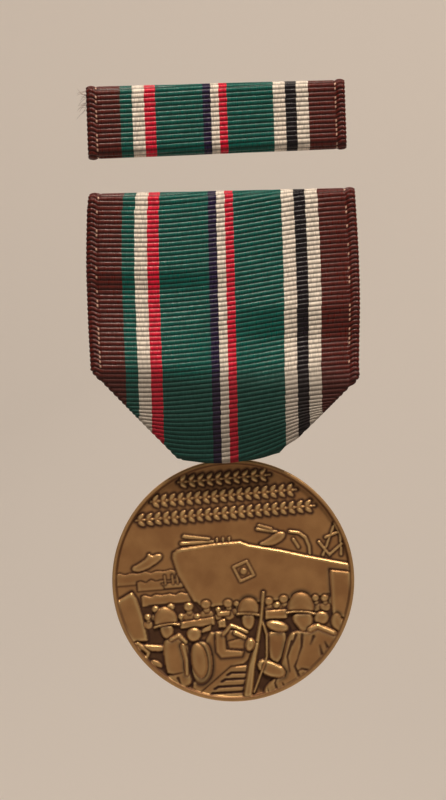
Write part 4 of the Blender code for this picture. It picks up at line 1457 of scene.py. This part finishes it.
coat_folds = [
    [(8.4, -7.9), (8.2, -9.4), (7.6, -10.8)], [(7.6, -7.8), (7.0, -9.2)],
    [(7.0, -8.6), (6.2, -10.6), (6.4, -12.6)], [(7.6, -13.4), (7.1, -11.9), (7.6, -10.9)],
    [(8.9, -12.6), (8.0, -12.3), (7.3, -12.6)], [(10.8, -10.6), (10.6, -9.4)],
    [(11.6, -9.8), (11.3, -9.0)], [(9.9, -8.2), (9.4, -9.2)],
    [(4.6, -14.9), (4.3, -13.9), (4.7, -13.1)], [(5.6, -14.6), (5.3, -13.9)],
    [(3.4, -15.2), (3.3, -14.4)],
]
folds(coat_folds)
obverse.raise_shape(inside_oval(5.25, -6.5, 1.5, 0.66, -18), 0.40, edge=0.5, shadow=0.55)
case = [(2.6, -10.6), (3.9, -10.9), (6.0, -12.2), (5.5, -13.4), (3.3, -12.9), (2.0, -11.6)]
obverse.raise_shape(inside_outline(rounded(case, 1)), 0.42, edge=0.3, shadow=0.6)

print("right pair done")

# %% The rifle over everything, from muzzle to butt, and its sling
sling = [(3.3, -5.6), (3.75, -7.4), (3.55, -10.4), (2.2, -13.4), (1.5, -14.9)]
obverse.raise_shape(inside_bar(sling, 0.34, 0.26), 0.40, edge=0.16, shadow=0.4)
barrel_line = [(3.8, -1.9), (3.2, -5.4), (2.3, -9.0)]
obverse.raise_shape(inside_bar(barrel_line, 0.32, 0.62), 0.44, edge=0.25, shadow=0.45)
butt_line = [(2.4, -8.6), (1.5, -11.4), (0.7, -15.0)]
obverse.raise_shape(inside_bar(butt_line, 0.62, 1.15), 0.46, edge=0.35, shadow=0.45)
obverse.raise_shape(inside_oval(1.5, -8.6, 0.62, 0.85, -15), 0.46, edge=0.4, shadow=0.4)
print("figures done, highest mm:", round(float(obverse.height.max()), 3))

# %% [markdown]
# ## The reverse
#
# The reverse lies against the coat and is seen only when the medal swings. It gets a plain
# wreath round a star, where such a medal has its inscription. The wreath is one leaf, placed
# again and again round a circle, in threes that grow up both sides from a knot.

# %% The reverse
reverse = Die()
WREATH_RADIUS = 12.2
WREATH_LEAVES = 17
for side in (-1, 1):
    for number in range(WREATH_LEAVES):
        angle = math.radians(-84 + 160 * number / (WREATH_LEAVES - 1))
        x = side * WREATH_RADIUS * math.cos(angle)
        y = WREATH_RADIUS * math.sin(angle)
        growth = math.degrees(angle) + 90 if side > 0 else 90 - math.degrees(angle)
        for lean in (-32, 32, 0):
            reverse.raise_shape(inside_outline(leaf(x, y, 2.0, growth + lean)), 0.24, edge=0.4, shadow=0.4)
for end_x, end_y in ((-1.5, -14.4), (1.5, -14.4)):
    reverse.raise_shape(inside_bar([(-end_x * 0.6, -11.4), (end_x, end_y)], 0.9, 0.7), 0.26, edge=0.3)
reverse.raise_shape(inside_oval(0, -12.6, 0.9, 0.7), 0.32, edge=0.4)
STAR_TIP, STAR_NOTCH = 3.6, 1.5
star_turns = math.tau * np.arange(10) / 10
star_reach = np.where(np.arange(10) % 2 == 0, STAR_TIP, STAR_NOTCH)
star = np.stack((star_reach * np.sin(star_turns), star_reach * np.cos(star_turns)), -1)
reverse.raise_shape(inside_outline(star), 0.3, edge=1.2)
print("reverse done, highest mm:", round(float(reverse.height.max()), 3))

# %% [markdown]
# ## Striking the medal
#
# A flat grid of squares is drawn out to a round, so that its rows become rings near the edge
# and the rim comes out clean. Each corner is then lifted to the height the die has there.
# The two faces are joined by the wall of the edge.

# %% Draw a square grid out to a round
FACE_CELLS = {"obverse": 280, "reverse": 112}
FIELD_DEPTH = 0.45 * MM    # how far the field lies below the rim
RELIEF_SHARE = 0.95        # how much of the die's height the metal takes up
RIM_INSIDE = 15.18         # millimetres from the middle, where the rim's slope starts
RIM_TOP = 15.42
EDGE_ROUND = 0.13          # how much the outermost corner is rounded


def on_round(a, b):
    """A square's place drawn out to a round: squares round the middle become circles."""
    wide = np.abs(a) > np.abs(b)
    reach = np.where(wide, a, b)
    safe = np.where(reach == 0, 1, reach)
    turn = np.where(wide, np.pi / 4 * b / safe, np.pi / 2 - np.pi / 4 * a / safe)
    return reach * np.cos(turn), reach * np.sin(turn)


def read_sheet(field, x, y):
    """The sheet's value between its places."""
    column = np.clip((x + FACE_HALF) / DIE_STEP, 0, len(die_line) - 1.001)
    row = np.clip((y + FACE_HALF) / DIE_STEP, 0, len(die_line) - 1.001)
    c, r = column.astype(int), row.astype(int)
    u, v = column - c, row - r
    return (
        field[r, c] * (1 - u) * (1 - v) + field[r, c + 1] * u * (1 - v)
        + field[r + 1, c] * (1 - u) * v + field[r + 1, c + 1] * u * v
    )


def smooth_step(value, start, end):
    """0 before the start, 1 past the end, and a soft rise between."""
    return eased((value - start) / (end - start))


print("rings on the obverse:", FACE_CELLS["obverse"] // 2)


# %% Lift one face to the die's heights
def struck_face(name, die, front):
    """One face of the medal with its relief, its rim, its patina and its wear."""
    cells = FACE_CELLS[name]
    bpy.ops.mesh.primitive_grid_add(x_subdivisions=cells, y_subdivisions=cells, size=2)
    face = bpy.context.object
    face.name = name
    mesh = face.data
    corners = np.empty(len(mesh.vertices) * 3)
    mesh.vertices.foreach_get("co", corners)
    corners = corners.reshape(-1, 3)
    x, y = on_round(corners[:, 0], corners[:, 1])
    x, y = x * DISC_RADIUS / MM, y * DISC_RADIUS / MM
    reach = np.hypot(x, y)
    height = softened(die.height, DIE_STEP)
    worn_edges = np.clip((height - softened(die.height, 0.55)) / 0.09, 0, 1)
    patina = softened(die.dark, 0.1)
    relief = read_sheet(height, x, y) * RELIEF_SHARE
    rise = smooth_step(reach, RIM_INSIDE, RIM_TOP)
    rim = FIELD_DEPTH / MM
    edge_start = DISC_RADIUS / MM - EDGE_ROUND
    past_start = np.clip((reach - edge_start) / EDGE_ROUND, 0, 1)
    drop = EDGE_ROUND * (1 - np.sqrt(1 - past_start ** 2))
    on_rim = np.maximum(relief, 0) * (1 - rise) ** 2 + rim * rise - drop
    lift = np.where(reach < RIM_INSIDE, relief, on_rim)
    side = -1 if front else 1
    plane = disc_low.y if front else disc_high.y
    world_x, world_z = turned_about(disc_middle, DISC_TILT, x * MM * (1 if front else -1), y * MM)
    world_y = plane - side * FIELD_DEPTH + side * lift * MM
    mesh.vertices.foreach_set("co", np.stack((world_x, world_y, world_z), -1).ravel())
    # the patina stays in the foot of the rim, out of reach of the rubbing
    near_rim = 0.65 * np.clip(1.5 - np.abs(reach - RIM_INSIDE - 0.14) / 0.16, 0, 1)
    dark = np.maximum(read_sheet(patina, x, y) * (1 - rise), near_rim)
    rim_wear = 0.35 * smooth_step(reach, RIM_TOP, edge_start)
    wear = np.maximum(read_sheet(worn_edges, x, y) * (1 - rise), rim_wear)
    for attribute, values in (("patina", dark), ("wear", wear)):
        layer = mesh.attributes.new(attribute, "FLOAT", "POINT")
        layer.data.foreach_set("value", values.astype(np.float32))
    mesh.update()
    return face


print("field lies below the rim, mm:", FIELD_DEPTH / MM)


# %% Strike both faces and join them
def strike(name):
    """Both faces as one piece, with the edge bridged between their outlines."""
    bpy.ops.object.select_all(action="DESELECT")
    faces = [struck_face("obverse", obverse, True), struck_face("reverse", reverse, False)]
    for face in faces:
        face.select_set(True)
    bpy.context.view_layer.objects.active = faces[0]
    bpy.ops.object.join()
    disc = bpy.context.object
    bpy.ops.object.mode_set(mode="EDIT")
    bpy.ops.mesh.select_all(action="DESELECT")
    bpy.ops.mesh.select_mode(type="EDGE")
    bpy.ops.mesh.select_non_manifold(
        extend=False, use_boundary=True, use_wire=False, use_multi_face=False,
        use_non_contiguous=False, use_verts=False,
    )
    bpy.ops.mesh.bridge_edge_loops()
    bpy.ops.mesh.select_all(action="SELECT")
    bpy.ops.mesh.normals_make_consistent(inside=False)
    bpy.ops.object.mode_set(mode="OBJECT")
    bpy.ops.object.shade_smooth()
    disc.name = name
    return disc


struck_disc = strike("struck_disc")
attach(struck_disc, "medal")
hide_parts("planchet")
struck_disc.data.calc_loop_triangles()
print("disc triangles:", len(struck_disc.data.loop_triangles))

# %% [markdown]
# ## Antique bronze
#
# The medal is a soft copper alloy. It's struck, sandblasted to a fine matt, darkened in a
# sulphur bath and rubbed with pumice. The eye sees a warm, dull brown-gold field with a very
# fine grain, nearly black purple-brown in the hollows, and pale brass where a thumb would
# rub. Grime makes the field uneven over a few millimetres.

# %% Bronze of the disc, and of its ring and lug
BRONZE_DULL, BRONZE_WARM = "#A2754A", "#B88A59"
BRONZE_PATINA = "#3A221C"
BRONZE_RUBBED = "#D8B47C"
BRONZE_METALLIC = 0.72     # the toned skin is part oxide, so it isn't all metal
GRAIN_SIZE = 0.16          # millimetres; real sandblast grain is finer than would show


def metal_grain(material, shader, size, depth, roughness, roughness_swing):
    """Fine grain: a bump and a roughness that both change over a given size in millimetres."""
    place = add_node(material, "ShaderNodeTexCoord").outputs["Object"]
    grain = add_node(material, "ShaderNodeTexNoise",
                     {"Vector": place, "Scale": 1 / (size * MM), "Detail": 3.0, "Roughness": 0.6})
    bump = add_node(material, "ShaderNodeBump",
                    {"Height": grain.outputs["Fac"], "Strength": 1.0, "Distance": depth * MM})
    swing = add_node(material, "ShaderNodeMapRange",
                     {"Value": grain.outputs["Fac"], "To Min": roughness - roughness_swing,
                      "To Max": roughness + roughness_swing})
    link(material, bump.outputs["Normal"], shader.inputs["Normal"])
    return place, swing.outputs["Result"]


def bronze_material(name, has_die):
    """Toned bronze: a blotchy field, and on the struck disc its patina and worn edges as well."""
    material, shader = new_material(name)
    shader.inputs["Metallic"].default_value = BRONZE_METALLIC
    place, rough = metal_grain(material, shader, GRAIN_SIZE, 0.012, 0.46, 0.10)
    blotch = add_node(
        material, "ShaderNodeTexNoise", {"Vector": place, "Scale": 1 / (3.2 * MM), "Detail": 4.0}
    )
    uneven = add_node(material, "ShaderNodeMapRange",
                      {"Value": blotch.outputs["Fac"], "From Min": 0.35, "From Max": 0.7})
    field = {"Factor": uneven.outputs["Result"], 6: paint(BRONZE_DULL), 7: paint(BRONZE_WARM)}
    colour = add_node(material, "ShaderNodeMix", field, data_type="RGBA").outputs[2]
    if has_die:
        patina = add_node(material, "ShaderNodeAttribute", attribute_name="patina")
        wear = add_node(material, "ShaderNodeAttribute", attribute_name="wear")
        for share, over in ((patina, BRONZE_PATINA), (wear, BRONZE_RUBBED)):
            layer = {"Factor": share.outputs["Fac"], 6: colour, 7: paint(over)}
            colour = add_node(material, "ShaderNodeMix", layer, data_type="RGBA").outputs[2]
        for share, change in ((patina, 0.25), (wear, -0.12)):
            added = {0: share.outputs["Fac"], 1: change, 2: rough}
            rough = add_node(material, "ShaderNodeMath", added, operation="MULTIPLY_ADD").outputs[0]
    link(material, colour, shader.inputs["Base Color"])
    link(material, rough, shader.inputs["Roughness"])
    return material


struck_bronze = bronze_material("struck and antiqued bronze, rubbed with pumice", True)
struck_disc.data.materials.clear()
struck_disc.data.materials.append(struck_bronze)
wire_bronze = bronze_material("drawn bronze wire, antiqued", False)
print("bronzes:", struck_bronze.name, "/", wire_bronze.name)

# %% [markdown]
# ## The fittings
#
# Brooch plate, hinge and catch are stamped from sheet brass and left bright under a thin
# lacquer. The rolling mill leaves fine lines along the sheet. The pin is hard spring steel
# with a nickel plate, which is whiter and smoother. All were tumbled after stamping, so no
# edge is quite sharp. Their shape is right as it stands; each gets a smooth shading and its
# metal, and all but the pin and the ring get rounded edges.

# %% Rolled and drawn metals
def rolled_metal(name, low, high, roughness, stretch):
    """Bright metal with fine lines along one axis; stretch holds the lines' size in millimetres."""
    material, shader = new_material(name)
    shader.inputs["Metallic"].default_value = 1.0
    place = add_node(material, "ShaderNodeTexCoord").outputs["Object"]
    scale = tuple(1 / (size * MM) for size in stretch)
    drawn = add_node(material, "ShaderNodeMapping", {"Vector": place, "Scale": scale})
    lines = add_node(material, "ShaderNodeTexNoise",
                     {"Vector": drawn.outputs["Vector"], "Scale": 1.0, "Detail": 3.0})
    tarnish = add_node(
        material, "ShaderNodeTexNoise", {"Vector": place, "Scale": 1 / (2.6 * MM), "Detail": 5.0}
    )
    spread_out = add_node(material, "ShaderNodeMapRange",
                          {"Value": tarnish.outputs["Fac"], "From Min": 0.38, "From Max": 0.68})
    tones = {"Factor": spread_out.outputs["Result"], 6: paint(low), 7: paint(high)}
    colour = add_node(material, "ShaderNodeMix", tones, data_type="RGBA")
    link(material, colour.outputs[2], shader.inputs["Base Color"])
    rough = add_node(material, "ShaderNodeMapRange",
                     {"Value": lines.outputs["Fac"], "To Min": roughness - 0.08,
                      "To Max": roughness + 0.14})
    link(material, rough.outputs["Result"], shader.inputs["Roughness"])
    bump = add_node(material, "ShaderNodeBump",
                    {"Height": lines.outputs["Fac"], "Strength": 0.6, "Distance": 0.008 * MM})
    link(material, bump.outputs["Normal"], shader.inputs["Normal"])
    return material


FITTING_METALS = {
    "brass": rolled_metal(
        "rolled and stamped brass, lacquered", "#9C7A46", "#C49A5C", 0.30, (6.0, 0.05, 0.05)
    ),
    "steel": rolled_metal(
        "drawn spring steel, nickel plated", "#A9A49A", "#CFCAC0", 0.20, (5.0, 0.06, 0.06)
    ),
    "bronze": wire_bronze,
}


print("fitting metals:", len(FITTING_METALS))


# %% Round the edges of the fittings
def refine(node, metal, rounding):
    """A smoothly shaded copy of a part, with rounded edges when a rounding is given, in place of the part
    itself.
    """
    piece = bpy.data.objects.new("fine_" + node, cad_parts[node].data.copy())
    bpy.context.collection.objects.link(piece)
    bpy.ops.object.select_all(action="DESELECT")
    piece.select_set(True)
    bpy.context.view_layer.objects.active = piece
    bpy.ops.object.mode_set(mode="EDIT")
    bpy.ops.mesh.select_all(action="SELECT")
    bpy.ops.mesh.remove_doubles(threshold=0.004 * MM)
    bpy.ops.mesh.dissolve_limited(angle_limit=math.radians(0.5))
    bpy.ops.mesh.normals_make_consistent(inside=False)
    bpy.ops.object.mode_set(mode="OBJECT")
    if rounding:
        bevel = piece.modifiers.new("tumbled edges", "BEVEL")
        bevel.width = rounding * MM
        bevel.segments = 2
        bevel.limit_method = "ANGLE"
        bevel.angle_limit = math.radians(40)
        bpy.ops.object.modifier_apply(modifier=bevel.name)
    bpy.ops.object.shade_smooth_by_angle(angle=math.radians(35))
    piece.data.materials.clear()
    piece.data.materials.append(FITTING_METALS[metal])
    return piece


FITTINGS = {
    "brooch_plate": ("brooch", "brass", 0.08, "stamped_brass"),
    "hinge_bracket": ("brooch", "brass", 0.05, "stamped_brass"),
    "hinge_rivet": ("brooch", "steel", 0.03, "plated_steel"),
    "catch_base": ("brooch", "brass", 0.05, "stamped_brass"),
    "catch_sleeve": ("catch", "brass", 0.04, "stamped_brass"),
    "pin_stem": ("pin", "steel", 0.0, "plated_steel"),
    "suspension_ring": ("ring", "bronze", 0.0, "bronze_wire"),
    "suspension_lug": ("medal", "bronze", 0.06, "antique_bronze"),
    "ribbon_bar_channel": ("ribbon_bar", "brass", 0.05, "stamped_brass"),
}
for node, (body, metal, rounding, slot_name) in FITTINGS.items():
    fine = refine(node, metal, rounding)
    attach(fine, body)
    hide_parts(node)
    print(fine.name, "faces:", len(fine.data.polygons))
